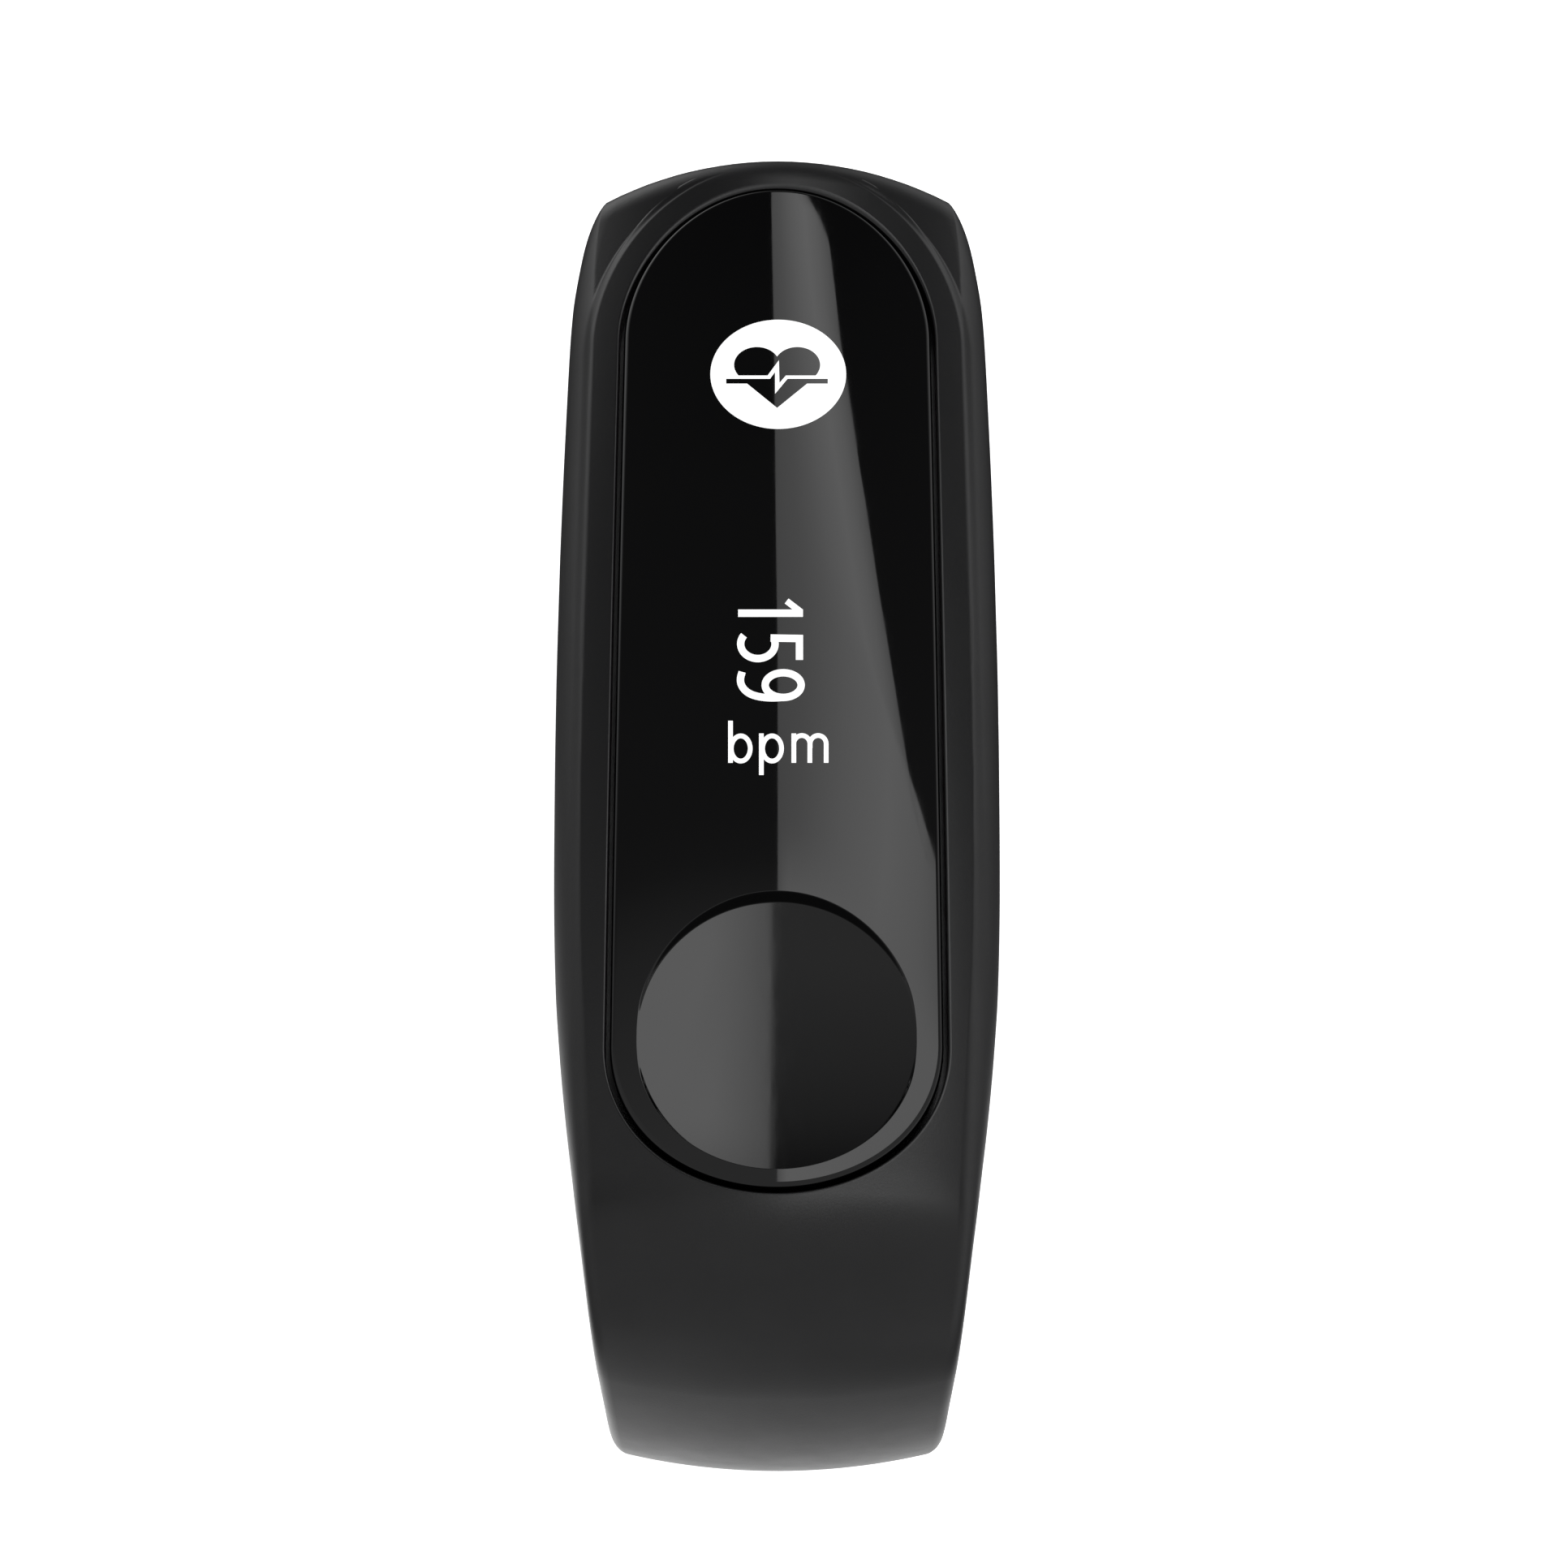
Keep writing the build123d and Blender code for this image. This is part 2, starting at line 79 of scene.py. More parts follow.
PHI_N = math.asin(WIN_L / RL)
CN1 = (-(RL - R_SHO) * math.sin(PHI_N), ZC0 + (RL - R_SHO) * math.cos(PHI_N))
A_SHO = math.radians(80)
CN2 = (CN1[0] - (R_SHO - R_BACK) * math.sin(A_SHO), CN1[1] + (R_SHO - R_BACK) * math.cos(A_SHO))
_s, _c = FLAT + CN2[0], Z_IN + R_BACK - CN2[1]
_q = (_s * _s + _c * _c) / (2 * _c)
A_N, R_N = math.atan2(_s, _c - _q), R_BACK - _q
CN3 = (-FLAT, Z_IN + R_N)
PHI_P, Y_P, Z_P = math.radians(56), 29.25, ZT - 2.55
R_P = (Y_EXT - Y_P) / (1 - math.sin(PHI_P))
CP1 = (Y_EXT - R_P, Z_P - R_P * math.cos(PHI_P))
A_P, R_Q = solve(Y_EXT, CP1[1], Z_OUT)
CP2 = (Y_EXT - R_SIDE, CP1[1])
CP3 = (FLAT, Z_OUT + R_Q)
R_T = R_Q - STRAP_T - GAP
CT = (FLAT, Z_IN + R_T)
PHI_TIP = math.radians(132)

# ------------------------------------------------------------------ the path round the loop: t in mm, 0 at the window's middle
# each zone: t0, t1, kind, centre, angle at t0, angle at t1, radius
HALF = math.pi / 2
zones = []


def add_zone(lst, length, kind, c, a0, a1, r):
    t0 = lst[-1][1] if lst else 0.0
    lst.append((t0, t0 + length, kind, c, a0, a1, r))


neg, pos = [], []
# towards -Y
neg.append((0.0, -CN1[0], "B", (0, 0), 0.0, -CN1[0], RL))
add_zone(neg, A_SHO * R_SHO, "A", CN1, 0.0, -A_SHO, R_SHO)
add_zone(neg, (A_N - A_SHO) * R_BACK, "arc", CN2, -A_SHO, -A_N, R_BACK)
add_zone(neg, (math.pi - A_N) * R_N, "arc", CN3, -A_N, -math.pi, R_N)
add_zone(neg, 2 * FLAT, "flat", (-FLAT, Z_IN), 1.0, 0.0, 0.0)
add_zone(neg, (math.pi - PHI_TIP) * R_T, "arc", CT, -math.pi, -2 * math.pi + PHI_TIP, R_T)
# towards +Y
pos.append((0.0, CP1[0], "B", (0, 0), 0.0, CP1[0], RL))
add_zone(pos, HALF * R_P, "C", CP1, 0.0, HALF, R_P)
add_zone(pos, A_P * R_SIDE, "arc", CP2, HALF, HALF + A_P, R_SIDE)
add_zone(pos, (HALF - A_P) * R_Q, "arc", CP3, HALF + A_P, math.pi, R_Q)
add_zone(pos, FLAT - TIP_Y, "flat", (FLAT, Z_OUT), -1.0, 0.0, 0.0)

T_SHO = neg[1][1]            # the shoulder's lower end, -Y side
T_FLAT_N = neg[3][1]         # start of the flat under the clasp, inner layer
T_TAILTIP = neg[5][1]
T_PSIDE = pos[1][1]          # +Y side, where the strap leaves the frame
T_PTIP = pos[4][1]
T_HOLE0 = T_FLAT_N + FLAT + HOLE_OFF     # the clasped hole


def cubic(xs, ys, x):
    """Smooth curve through points, with no overshoot (monotone cubic)."""
    xs, ys = np.array(xs, float), np.array(ys, float)
    h, d = np.diff(xs), np.diff(ys) / np.diff(xs)
    m = np.zeros(len(xs))
    for k in range(1, len(xs) - 1):
        if d[k - 1] * d[k] > 0:
            w1, w2 = 2 * h[k] + h[k - 1], h[k] + 2 * h[k - 1]
            m[k] = (w1 + w2) / (w1 / d[k - 1] + w2 / d[k])
    x = np.clip(x, xs[0], xs[-1])
    i = np.clip(np.searchsorted(xs, x) - 1, 0, len(xs) - 2)
    t = (x - xs[i]) / h[i]
    return ((1 + 2 * t) * (1 - t) ** 2 * ys[i] + t * (1 - t) ** 2 * h[i] * m[i]
            + t * t * (3 - 2 * t) * ys[i + 1] + t * t * (t - 1) * h[i] * m[i + 1])


PLAN_Y = [-56.0, -44.0, -36.0, -33.76, -32.68, -31.58, -30.33, -28.87, -27.33, -25.69, -22.43, -19.18, -15.92, -11.04, -6.82, -2.46, 1.98, 6.64, 11.42, 16.41, 20.58, 22.63, 24.4, 26.0, 27.2, 28.4, 30.2, 32.0, 33.4, 36.0]
PLAN_W = [8.0, 8.15, 8.22, 8.34, 8.53, 8.7, 8.87, 9.07, 9.29, 9.51, 9.94, 10.29, 10.55, 10.74, 10.82, 10.88, 10.91, 10.91, 10.88, 10.82, 10.75, 10.66, 10.46, 10.2, 9.92, 9.5, 8.85, 8.3, 8.05, 8.0]


def plan(y):
    return cubic(PLAN_Y, PLAN_W, y)


def smooth(x):
    x = np.clip(x, 0, 1)
    return x * x * (3 - 2 * x)


def sag(x, r):
    return r - np.sqrt(np.maximum(r * r - x * x, 1e-9))


def offset_of(x, y):
    """How far outside the window's outline a point is, as the outline's own growth."""
    x = np.abs(x)
    o = x - WIN_W
    for cap, y0, side in ((CAP_T, WIN_L - CAP_T, 1), (CAP_B, -(WIN_L - CAP_B), -1)):
        dy = (y - y0) * side
        m = dy > 0
        if not np.any(m):
            continue
        xx, dd = x[m], dy[m]
        lo = np.full(xx.shape, -min(cap, WIN_W) + 0.02)
        hi = np.full(xx.shape, 40.0)
        for _ in range(44):
            mid = (lo + hi) / 2
            f = (xx / (WIN_W + mid)) ** 2 + (dd / (cap + mid)) ** 2 - 1
            lo = np.where(f > 0, mid, lo)
            hi = np.where(f > 0, hi, mid)
        o[m] = (lo + hi) / 2
    return o


def outline_pts(o, n_cap=72, n_side=90):
    """Closed outline grown by o: x, y, counter-clockwise from the +Y end of the right side."""
    a, bt, bb = WIN_W + o, CAP_T + o, CAP_B + o
    y1, y0 = WIN_L - CAP_T, -(WIN_L - CAP_B)
    th = np.linspace(0, math.pi, n_cap + 1)
    xs = [a * np.cos(th), np.full(n_side - 1, -a), -a * np.cos(th), np.full(n_side - 1, a)]
    side = np.linspace(y1, y0, n_side + 1)[1:-1]
    ys = [y1 + bt * np.sin(th), side, y0 - bb * np.sin(th), side[::-1]]
    return np.concatenate(xs), np.concatenate(ys)


def half_width(o, y):
    """The grown outline's half width at y, 0 past its ends."""
    a, bt, bb = WIN_W + o, CAP_T + o, CAP_B + o
    y1, y0 = WIN_L - CAP_T, -(WIN_L - CAP_B)
    e = np.where(y > y1, (y - y1) / bt, np.where(y < y0, (y0 - y) / bb, 0.0))
    return a * np.sqrt(np.clip(1 - e * e, 0, 1))


def zone_of(t):
    """For each t: kind index, centre y, z, angle, radius."""
    t = np.asarray(t, float)
    kind = np.zeros(t.shape, int)
    cy, cz, ang, rad = (np.zeros(t.shape) for _ in range(4))
    for sign, lst in ((-1, neg), (1, pos)):
        for k, (t0, t1, kd, c, a0, a1, r) in enumerate(lst):
            last = k == len(lst) - 1
            m = (sign * t >= t0) & ((sign * t < t1) | last) if sign > 0 or k else (sign * t >= t0) & (sign * t < t1)
            if sign > 0 and k == 0:
                m = (t >= 0) & (t < t1)
            if sign < 0 and k == 0:
                m = (t < 0) & (-t < t1)
            f = (sign * t[m] - t0) / (t1 - t0)
            if kd == "B":
                kind[m], ang[m], cy[m] = 0, 0.0, t[m]
            elif kd == "flat":
                kind[m], ang[m], cy[m], cz[m] = 4, math.pi, c[0] + a0 * (sign * t[m] - t0), c[1]
            else:
                kind[m] = {"A": 1, "C": 2, "arc": 3}[kd]
                cy[m], cz[m], ang[m], rad[m] = c[0], c[1], a0 + f * (a1 - a0), r
    return kind, cy, cz, ang, rad


def ray_top(cy, cz, ang, drop):
    """Distance along a ray at which it meets the frame's long arc, lowered by drop."""
    dy, dz = cy, cz - ZC0
    sy, sz = np.sin(ang), np.cos(ang)
    b = dy * sy + dz * sz
    c = dy * dy + dz * dz - (RL - drop) ** 2
    return -b + np.sqrt(np.maximum(b * b - c, 0))


def smin(a, b, k):
    h = np.maximum(k - np.abs(a - b), 0) / k
    return np.minimum(a, b) - h * h * k * 0.25


TT = np.linspace(-T_TAILTIP, T_PTIP, 6001)


def centre_y(t):
    kind, cy, cz, ang, rad = zone_of(t)
    y = np.where(kind == 0, cy, 0.0)
    top = ray_top(cy, cz, ang, 0.0)
    m = kind == 1
    y[m] = (cy + np.where(ang > -PHI_N, top, rad) * np.sin(ang))[m]
    m = kind == 2
    y[m] = (cy + np.minimum(top, rad) * np.sin(ang))[m]
    y[(kind >= 3) & (t < 0)] = CN1[0] - R_SHO * math.sin(A_SHO)
    y[(kind >= 3) & (t > 0)] = Y_EXT
    return y


TABLE_Y = centre_y(TT)


def y_at(t):
    """The strap edge's own y round the frame, carried on past its ends."""
    return np.interp(t, TT, TABLE_Y)


def w_at(t):
    return plan(y_at(t))


def rc_at(t):
    """Crown radius across the strap."""
    return np.where(t < 0, RC + 14.0 * smooth((-t - 25.0) / 16.0), RC + 2.0 * smooth((t - 30) / 20.0))


def e_at(t):
    """Width of the rounded or bevelled edge."""
    y = y_at(t)
    neg_e = 0.62 + 0.78 * smooth((y + 36.5) / 20.0)
    pos_e = 0.62 + 0.70 * smooth((34.5 - y) / 8.0)
    return np.where(t < 0, neg_e, pos_e)


def d_at(t):
    """Depth of that edge."""
    y = y_at(t)
    neg_d = 0.62 + 1.15 * smooth((y + 36.0) / 18.0)
    pos_d = 0.62 + 1.15 * smooth((34.5 - y) / 8.0)
    return np.where(t < 0, neg_d, pos_d)


def n_at(t):
    y = y_at(t)
    return np.where(t < 0, 2.0 - 0.65 * smooth((y + 30.0) / 16.0), 2.0 - 0.65 * smooth((34.5 - y) / 7.0))


def edge_drop(x, w, e, d, n):
    xi = np.clip((np.abs(x) - (w - e)) / e, 0, 1)
    return d * (1 - np.maximum(1 - xi ** n, 0) ** (1 / n))


def step_drop(x, y):
    """The strap lies a little lower than the rim round the window, towards the +Y end."""
    depth = RIM_STEP * np.clip((y + 20.0) / (WIN_L + 20.0), 0, 1.1)
    out = np.zeros(x.shape)
    m = depth > 0
    if np.any(m):
        out[m] = depth[m] * smooth((offset_of(x[m], y[m]) - RIM + 0.08) / 0.62)
    return out


def outer(x, t, extra=0.0):
    """A point of the strap's outer surface, lowered by extra."""
    x, t = np.broadcast_arrays(np.asarray(x, float), np.asarray(t, float))
    shape = x.shape
    x, t = x.ravel(), t.ravel()
    kind, cy, cz, ang, rad = zone_of(t)
    base = sag(x, rc_at(t)) + edge_drop(x, w_at(t), e_at(t), d_at(t), n_at(t)) + extra
    sy, sz = np.sin(ang), np.cos(ang)
    Y, Z = np.zeros(x.shape), np.zeros(x.shape)
    m = kind == 0
    if np.any(m):
        y = cy[m]
        dr = base[m] + step_drop(x[m], y)
        Y[m] = y
        Z[m] = ZC0 + np.sqrt((RL - dr) ** 2 - y * y)
    m = kind == 1
    if np.any(m):
        r = np.where(ang[m] > -PHI_N, ray_top(cy[m], cz[m], ang[m], base[m]), rad[m] - base[m])
        # the two meet smoothly: the arc is tangent to the long arc there
        Y[m], Z[m] = cy[m] + r * sy[m], cz[m] + r * sz[m]
    m = kind == 2
    if np.any(m):
        r1 = ray_top(cy[m], cz[m], ang[m], base[m])
        r2 = rad[m] - base[m]
        y = cy[m] + np.minimum(r1, r2) * sy[m]
        for _ in range(2):
            st = step_drop(x[m], y)
            r1 = ray_top(cy[m], cz[m], ang[m], base[m] + st)
            r = smin(r1, r2, 0.9)
            y = cy[m] + r * sy[m]
        Y[m], Z[m] = y, cz[m] + r * sz[m]
    m = kind == 3
    if np.any(m):
        r = rad[m] - base[m]
        Y[m], Z[m] = cy[m] + r * sy[m], cz[m] + r * sz[m]
    m = kind == 4
    if np.any(m):
        Y[m], Z[m] = cy[m], cz[m] + base[m]
    return np.stack([x, Y, Z], -1).reshape(shape + (3,))


# the plan's width belongs to the y of the edge itself, which the crown pulls towards the middle
_on = (TT > -T_SHO) & (TT < T_PSIDE)
for _ in range(30):
    _y = TABLE_Y.copy()
    _y[_on] = outer(w_at(TT[_on]), TT[_on])[:, 1]
    _a, _b = np.flatnonzero(_on)[[0, -1]]
    _g = smooth((TT - (T_PSIDE - 10.5)) / 10.5)
    _y[_on] = (_y * (1 - _g) + 36.0 * _g)[_on]
    _s = TT[_a] - TT[:_a]
    _y[:_a] = _y[_a] - 0.25 * _s - 1.75 * np.where(_s < 15, _s * _s / 30.0, _s - 7.5)
    _y[_b + 1:] = _y[_b] + (TT[_b + 1:] - TT[_b])
    TABLE_Y = np.maximum.accumulate(0.5 * (_y + TABLE_Y))


def outer_normal(x, t, extra=0.0, eps=0.012):
    w = w_at(np.asarray(t, float))
    xa, xb = np.clip(x - eps, -w, w), np.clip(x + eps, -w, w)
    dx = outer(xb, t, extra) - outer(xa, t, extra)
    dt = outer(x, t + eps, extra) - outer(x, t - eps, extra)
    n = np.cross(dx, dt)
    return n / np.maximum(np.linalg.norm(n, axis=-1, keepdims=True), 1e-12)


def inner(x, t, lift=0.0):
    """The strap's wrist side, in the strap zones, raised outwards by lift."""
    x, t = np.broadcast_arrays(np.asarray(x, float), np.asarray(t, float))
    kind, cy, cz, ang, rad = zone_of(t)
    base = STRAP_T + sag(x, R_IN) - lift
    Y = np.where(kind == 4, cy, cy + (rad - base) * np.sin(ang))
    Z = np.where(kind == 4, cz + base, cz + (rad - base) * np.cos(ang))
    return np.stack([x, Y, Z], -1)


# ------------------------------------------------------------------ mesh building
def grid_normals(p, wrap=False, mirror=False):
    """Normals from neighbours. mirror: the first and last rows lie on the X = 0 plane."""
    if mirror:
        flip = np.array([-1.0, 1.0, 1.0])
        q = np.concatenate([p[1:2] * flip, p, p[-2:-1] * flip], 0)
        a = (q[2:] - q[:-2]) / 2
    else:
        a = np.gradient(p, axis=0)
        if wrap:
            a[0] = a[-1] = (p[1] - p[-2]) / 2
    b = np.gradient(p, axis=1)
    n = np.cross(b, a)
    ln = np.linalg.norm(n, axis=-1, keepdims=True)
    n = n / np.maximum(ln, 1e-12)
    bad = ln[..., 0] < 1e-9
    if bad.any() and (~bad).any():
        idx = np.argwhere(bad)
        good = np.argwhere(~bad)
        for i, j in idx:
            k = np.argmin(np.abs(good[:, 0] - i) * 3 + np.abs(good[:, 1] - j))
            n[i, j] = n[tuple(good[k])]
    return n


class Builder:
    """Collects patches, joins equal points and keeps each corner's own normal."""

    def __init__(self):
        self.pts, self.nrm, self.quads, self.count = [], [], [], 0

    def grid(self, p, n=None, out=None, mirror=False, wrap=False, skip=None):
        """p is rows x columns x 3. n: normals, or out: a vector the surface faces. skip: cells left out."""
        g = grid_normals(p, wrap, mirror)
        if n is None:
            n = g
            if np.mean(np.sum(g * np.asarray(out, float), -1)) < 0:
                n = -g
        r, c = p.shape[:2]
        i = np.arange(r * c).reshape(r, c)
        q = np.stack([i[:-1, :-1], i[:-1, 1:], i[1:, 1:], i[1:, :-1]], -1)
        if skip is not None:
            q = q[~skip]
        q = q.reshape(-1, 4)
        fl = p.reshape(-1, 3)
        fn = np.cross(fl[q[:, 2]] - fl[q[:, 0]], fl[q[:, 3]] - fl[q[:, 1]])
        if np.sum(fn * n.reshape(-1, 3)[q[:, 0]]) < 0:
            q = q[:, ::-1]
        self.pts.append(fl)
        self.nrm.append(n.reshape(-1, 3))
        self.quads.append(q + self.count)
        self.count += len(fl)

    def make(self, name, mat, mirror=False):
        p, n, q = np.concatenate(self.pts), np.concatenate(self.nrm), np.concatenate(self.quads)
        if mirror:
            k = len(p)
            p = np.concatenate([p, p * (-1, 1, 1)])
            n = np.concatenate([n, n * (-1, 1, 1)])
            q = np.concatenate([q, q[:, ::-1] + k])
        key = np.round(p / 5e-4).astype(np.int64)
        _, first, back = np.unique(key, axis=0, return_index=True, return_inverse=True)
        back = back.ravel()
        qm = back[q]
        faces, normals, seen = [], [], set()
        for row, orig in zip(qm.tolist(), q.tolist()):
            keep = [k for k in range(4) if row[k] != row[k - 1]]
            f = [row[k] for k in keep]
            if len(f) < 3 or len(set(f)) < len(f):
                continue
            tag = tuple(sorted(f))
            if tag in seen:
                continue
            seen.add(tag)
            faces.append(f)
            normals.extend(n[orig[k]] for k in keep)
        me = bpy.data.meshes.new(name)
        me.from_pydata(((p[first] + (0, SHIFT, 0)) * MM).tolist(), [], faces)
        me.update()
        me.polygons.foreach_set("use_smooth", [True] * len(me.polygons))
        me.normals_split_custom_set([tuple(v) for v in normals])
        me.update()
        ob = bpy.data.objects.new(name, me)
        bpy.context.scene.collection.objects.link(ob)
        if mat is not None:
            me.materials.append(mat)
        return ob


def t_of(x, y, extra=0.0):
    """The place round the loop at which the outer surface at x has that y, near the frame."""
    x, y = np.broadcast_arrays(np.asarray(x, float), np.asarray(y, float))
    shape = x.shape
    x, y = x.ravel(), y.ravel()
    lo, hi = np.where(y < 0, -T_SHO, y - 2.0), np.where(y < 0, y + 2.0, T_PSIDE)
    for _ in range(36):
        mid = (lo + hi) / 2
        f = outer(x, mid, extra)[:, 1] - y
        lo, hi = np.where(f < 0, mid, lo), np.where(f < 0, hi, mid)
    return ((lo + hi) / 2).reshape(shape)


def round_steps(k):
    return np.linspace(0, HALF, k + 1)


# ================================================================== the frame's skin
ZB = ZT - FRAME_H
T_NSEAM = T_SHO + 20.0
T_PSEAM = T_PSIDE
O_IN = 0.16                       # radius of the window's edge
N_CAP, N_SIDE = 44, 84


def o_rim(y):
    return 1.45 + 0.6 * smooth((y + 15.0) / 22.0)


# index round the right half of the window: from the -Y end to the +Y end
th = np.concatenate([np.linspace(HALF, 0, N_CAP + 1), np.zeros(N_SIDE - 1), np.linspace(0, HALF, N_CAP + 1)])
ys = np.linspace(-(WIN_L - CAP_B), WIN_L - CAP_T, N_SIDE + 1)
part = np.concatenate([np.zeros(N_CAP + 1), np.ones(N_SIDE - 1), np.full(N_CAP + 1, 2)])
y_side = np.concatenate([np.zeros(N_CAP + 1), ys[1:-1], np.zeros(N_CAP + 1)])
M = len(th)


def ring_xy(o):
    """Right half of the window outline grown by o, o a number or one value per point."""
    o = np.broadcast_to(np.asarray(o, float), (M,))
    x = np.where(part == 1, WIN_W + o, (WIN_W + o) * np.cos(th))
    y = np.where(part == 0, -(WIN_L - CAP_B) - (CAP_B + o) * np.sin(th),
                 np.where(part == 2, WIN_L - CAP_T + (CAP_T + o) * np.sin(th), y_side))
    x = np.where((part != 1) & (th > HALF - 1e-9), 0.0, x)
    return x, y


o_out = np.where(part == 0, o_rim(-(WIN_L - CAP_B)), np.where(part == 2, o_rim(WIN_L - CAP_T), o_rim(y_side)))
rx, ry = ring_xy(o_out)
rt = t_of(rx, ry)

frame_b = Builder()
# rim round the window, from the outer ring in to the window's edge
cols = []
for f in np.linspace(0, 1, 19):
    o = o_out + (O_IN - o_out) * f
    x, y = ring_xy(o)
    cols.append((x, rt if f == 0 else t_of(x, y)))
X = np.stack([c[0] for c in cols], 1)
T = np.stack([c[1] for c in cols], 1)
frame_b.grid(outer(X, T), outer_normal(X, T))
# rounded window edge, lip, cavity wall and retaining bead
cols = []
for a in round_steps(5):
    x, y = ring_xy(O_IN * (1 - math.sin(a)))
    tt = t_of(x, y)
    cols.append(outer(x, tt, O_IN * (1 - math.cos(a))))
x, y = ring_xy(0.0)
z_lip = ZC0 + np.sqrt(LIP_R ** 2 - y ** 2)
top_z = cols[-1][:, 2]
for f in (0.25, 0.5, 0.75, 1.0):
    cols.append(np.stack([x, y, top_z + (z_lip - top_z) * f], -1))
wall = np.stack(cols, 1)
cx = np.stack([-x, -y * 0 - np.sign(y) * (part != 1) * np.abs(np.sin(th)), 0 * x], -1)
frame_b.grid(wall, out=np.repeat(cx[:, None], wall.shape[1], 1), mirror=True)
cols = []
for o in (0.0, 0.25, 0.5, 0.75):
    x, y = ring_xy(o)
    cols.append(np.stack([x, y, ZC0 + np.sqrt(LIP_R ** 2 - y ** 2)], -1))
frame_b.grid(np.stack(cols, 1), out=(0, 0, -1), mirror=True)
x, y = ring_xy(0.75)
z0 = ZC0 + np.sqrt(LIP_R ** 2 - y ** 2)
cols = [np.stack([x, y, z0 + (ZB + 1.25 - z0) * f], -1) for f in (0, 0.33, 0.66, 1.0)]
frame_b.grid(np.stack(cols, 1), out=np.repeat(cx[:, None], 4, 1), mirror=True)
x1, y1 = ring_xy(0.5)
cols = [np.stack([x, y, 0 * x + ZB + 1.25], -1), np.stack([x1, y1, 0 * x + ZB + 1.0], -1)]
frame_b.grid(np.stack(cols, 1), out=(0, 0, 1), mirror=True)
cols = [np.stack([x1, y1, 0 * x + ZB + 1.0 - h], -1) for h in (0, 0.4, 0.8, 1.0)]
frame_b.grid(np.stack(cols, 1), out=np.repeat(cx[:, None], 4, 1), mirror=True)

# outer skin: rows from the -Y seam to the +Y seam
tn0 = np.concatenate([np.linspace(-T_NSEAM, -T_SHO, 22)[:-1], np.linspace(-T_SHO, rt[0], 34)[:-1]])
tp0 = np.linspace(rt[-1], T_PSEAM, 52)[1:]
rows_t = np.concatenate([tn0, rt, tp0])
rows_x0 = np.concatenate([0 * tn0, rx, 0 * tp0])
w_r, e_r = w_at(rows_t), e_at(rows_t)
xm = np.maximum(w_r - e_r, rows_x0 + 0.3 * (w_r - rows_x0))
s1 = np.linspace(0, 1, 13)
s2 = np.sin(np.linspace(0, HALF, 15))[1:]
XX = np.concatenate([rows_x0[:, None] + (xm - rows_x0)[:, None] * s1, xm[:, None] + (w_r - xm)[:, None] * s2], 1)
TTg = np.repeat(rows_t[:, None], XX.shape[1], 1)
skin = outer(XX, TTg)
frame_b.grid(skin, outer_normal(XX, TTg))

# side walls
edge = skin[:, -1]
kind, cy, cz, ang, rad = zone_of(rows_t)


def e_in(t):
    """Edge radius of the strap's wrist side; none where it leaves the frame."""
    return 0.5 * smooth(np.where(t < 0, (-t - T_SHO + 0.9) / 3.0, (t - T_PSIDE + 8.0) / 7.0))


def low_width(y, z, c, rad0, a_end, t_end):
    """Half width at the wall's lower end: the plan's under the frame, the strap's own where the strap has left it."""
    w_end = float(w_at(t_end))
    z_end = c[1] + (rad0 - STRAP_T - float(sag(w_end, R_IN)) + float(e_in(t_end))) * math.cos(a_end)
    g = smooth((ZB - z) / (ZB - z_end))
    return plan(y) * (1 - g) + w_end * g


def wall_rows(m, k_low, x_low):
    """Grid of the side wall for the rows m, with lower points k_low (y, z)."""
    top = edge[m]
    f = np.linspace(0, 1, 9)
    Yg = top[:, 1:2] + (k_low[:, 0:1] - top[:, 1:2]) * f
    Zg = top[:, 2:3] + (k_low[:, 1:2] - top[:, 2:3]) * f
    x = plan(Yg) + (top[:, 0:1] - plan(top[:, 1:2])) * (1 - f) + (x_low - plan(k_low[:, 0]))[:, None] * f
    return np.stack([x, Yg, Zg], -1)


def low_points(idx, c, rad0, a):
    """Lower ends of the side wall's rays: the frame's underside or the strap's wrist side, whichever is nearer."""
    r_in = rad0 - STRAP_T - sag(w_r[idx], R_IN) + e_in(rows_t[idx])
    r_cut = (ZB - c[1]) / np.maximum(np.cos(a), 1e-6)
    r = np.where(r_cut < rad0, np.minimum(r_in, r_cut), r_in)
    return np.stack([c[0] + r * np.sin(a), c[1] + r * np.cos(a)], -1)


iA = np.where((kind == 1) | (np.abs(rows_t + T_SHO) < 1e-6))[0]
iB = np.where(kind == 0)[0]
iC = np.where((kind == 2) | (rows_t >= T_PSIDE - 1e-6))[0]
iN = np.where(rows_t <= -T_SHO + 1e-6)[0]
RB = 0.4 * smooth((edge[:, 1] - CN1[0] + 0.0) / 3.0) * smooth((CP1[0] + 0.5 - edge[:, 1]) / 3.0)
# shoulder
angA = np.where(kind[iA] == 1, ang[iA], -A_SHO)
low = low_points(iA, CN1, R_SHO, angA)
g = wall_rows(iA, low, low_width(low[:, 0], low[:, 1], CN1, R_SHO, A_SHO, -T_SHO))
frame_b.grid(g, out=(1, 0, 0))
# middle: straight down, with a small rounding at the wrist side
iB2 = np.concatenate([[iB[0] - 1], iB, [iB[-1] + 1]])
low = np.stack([edge[iB2, 1], ZB + RB[iB2]], -1)
low[0] = low_points(iA[-1:], CN1, R_SHO, angA[-1:])[0]
low[-1] = low_points(iC[:1], CP1, R_P, ang[iC[:1]])[0]
g = wall_rows(iB2, low, plan(low[:, 0]))
frame_b.grid(g, out=(1, 0, 0))
arc = [np.stack([plan(low[:, 0]) - RB[iB2] * (1 - math.cos(a)), low[:, 0], low[:, 1] - RB[iB2] * math.sin(a)], -1)
       for a in round_steps(4)]
frame_b.grid(np.stack(arc, 1), out=(1, 0, -1))
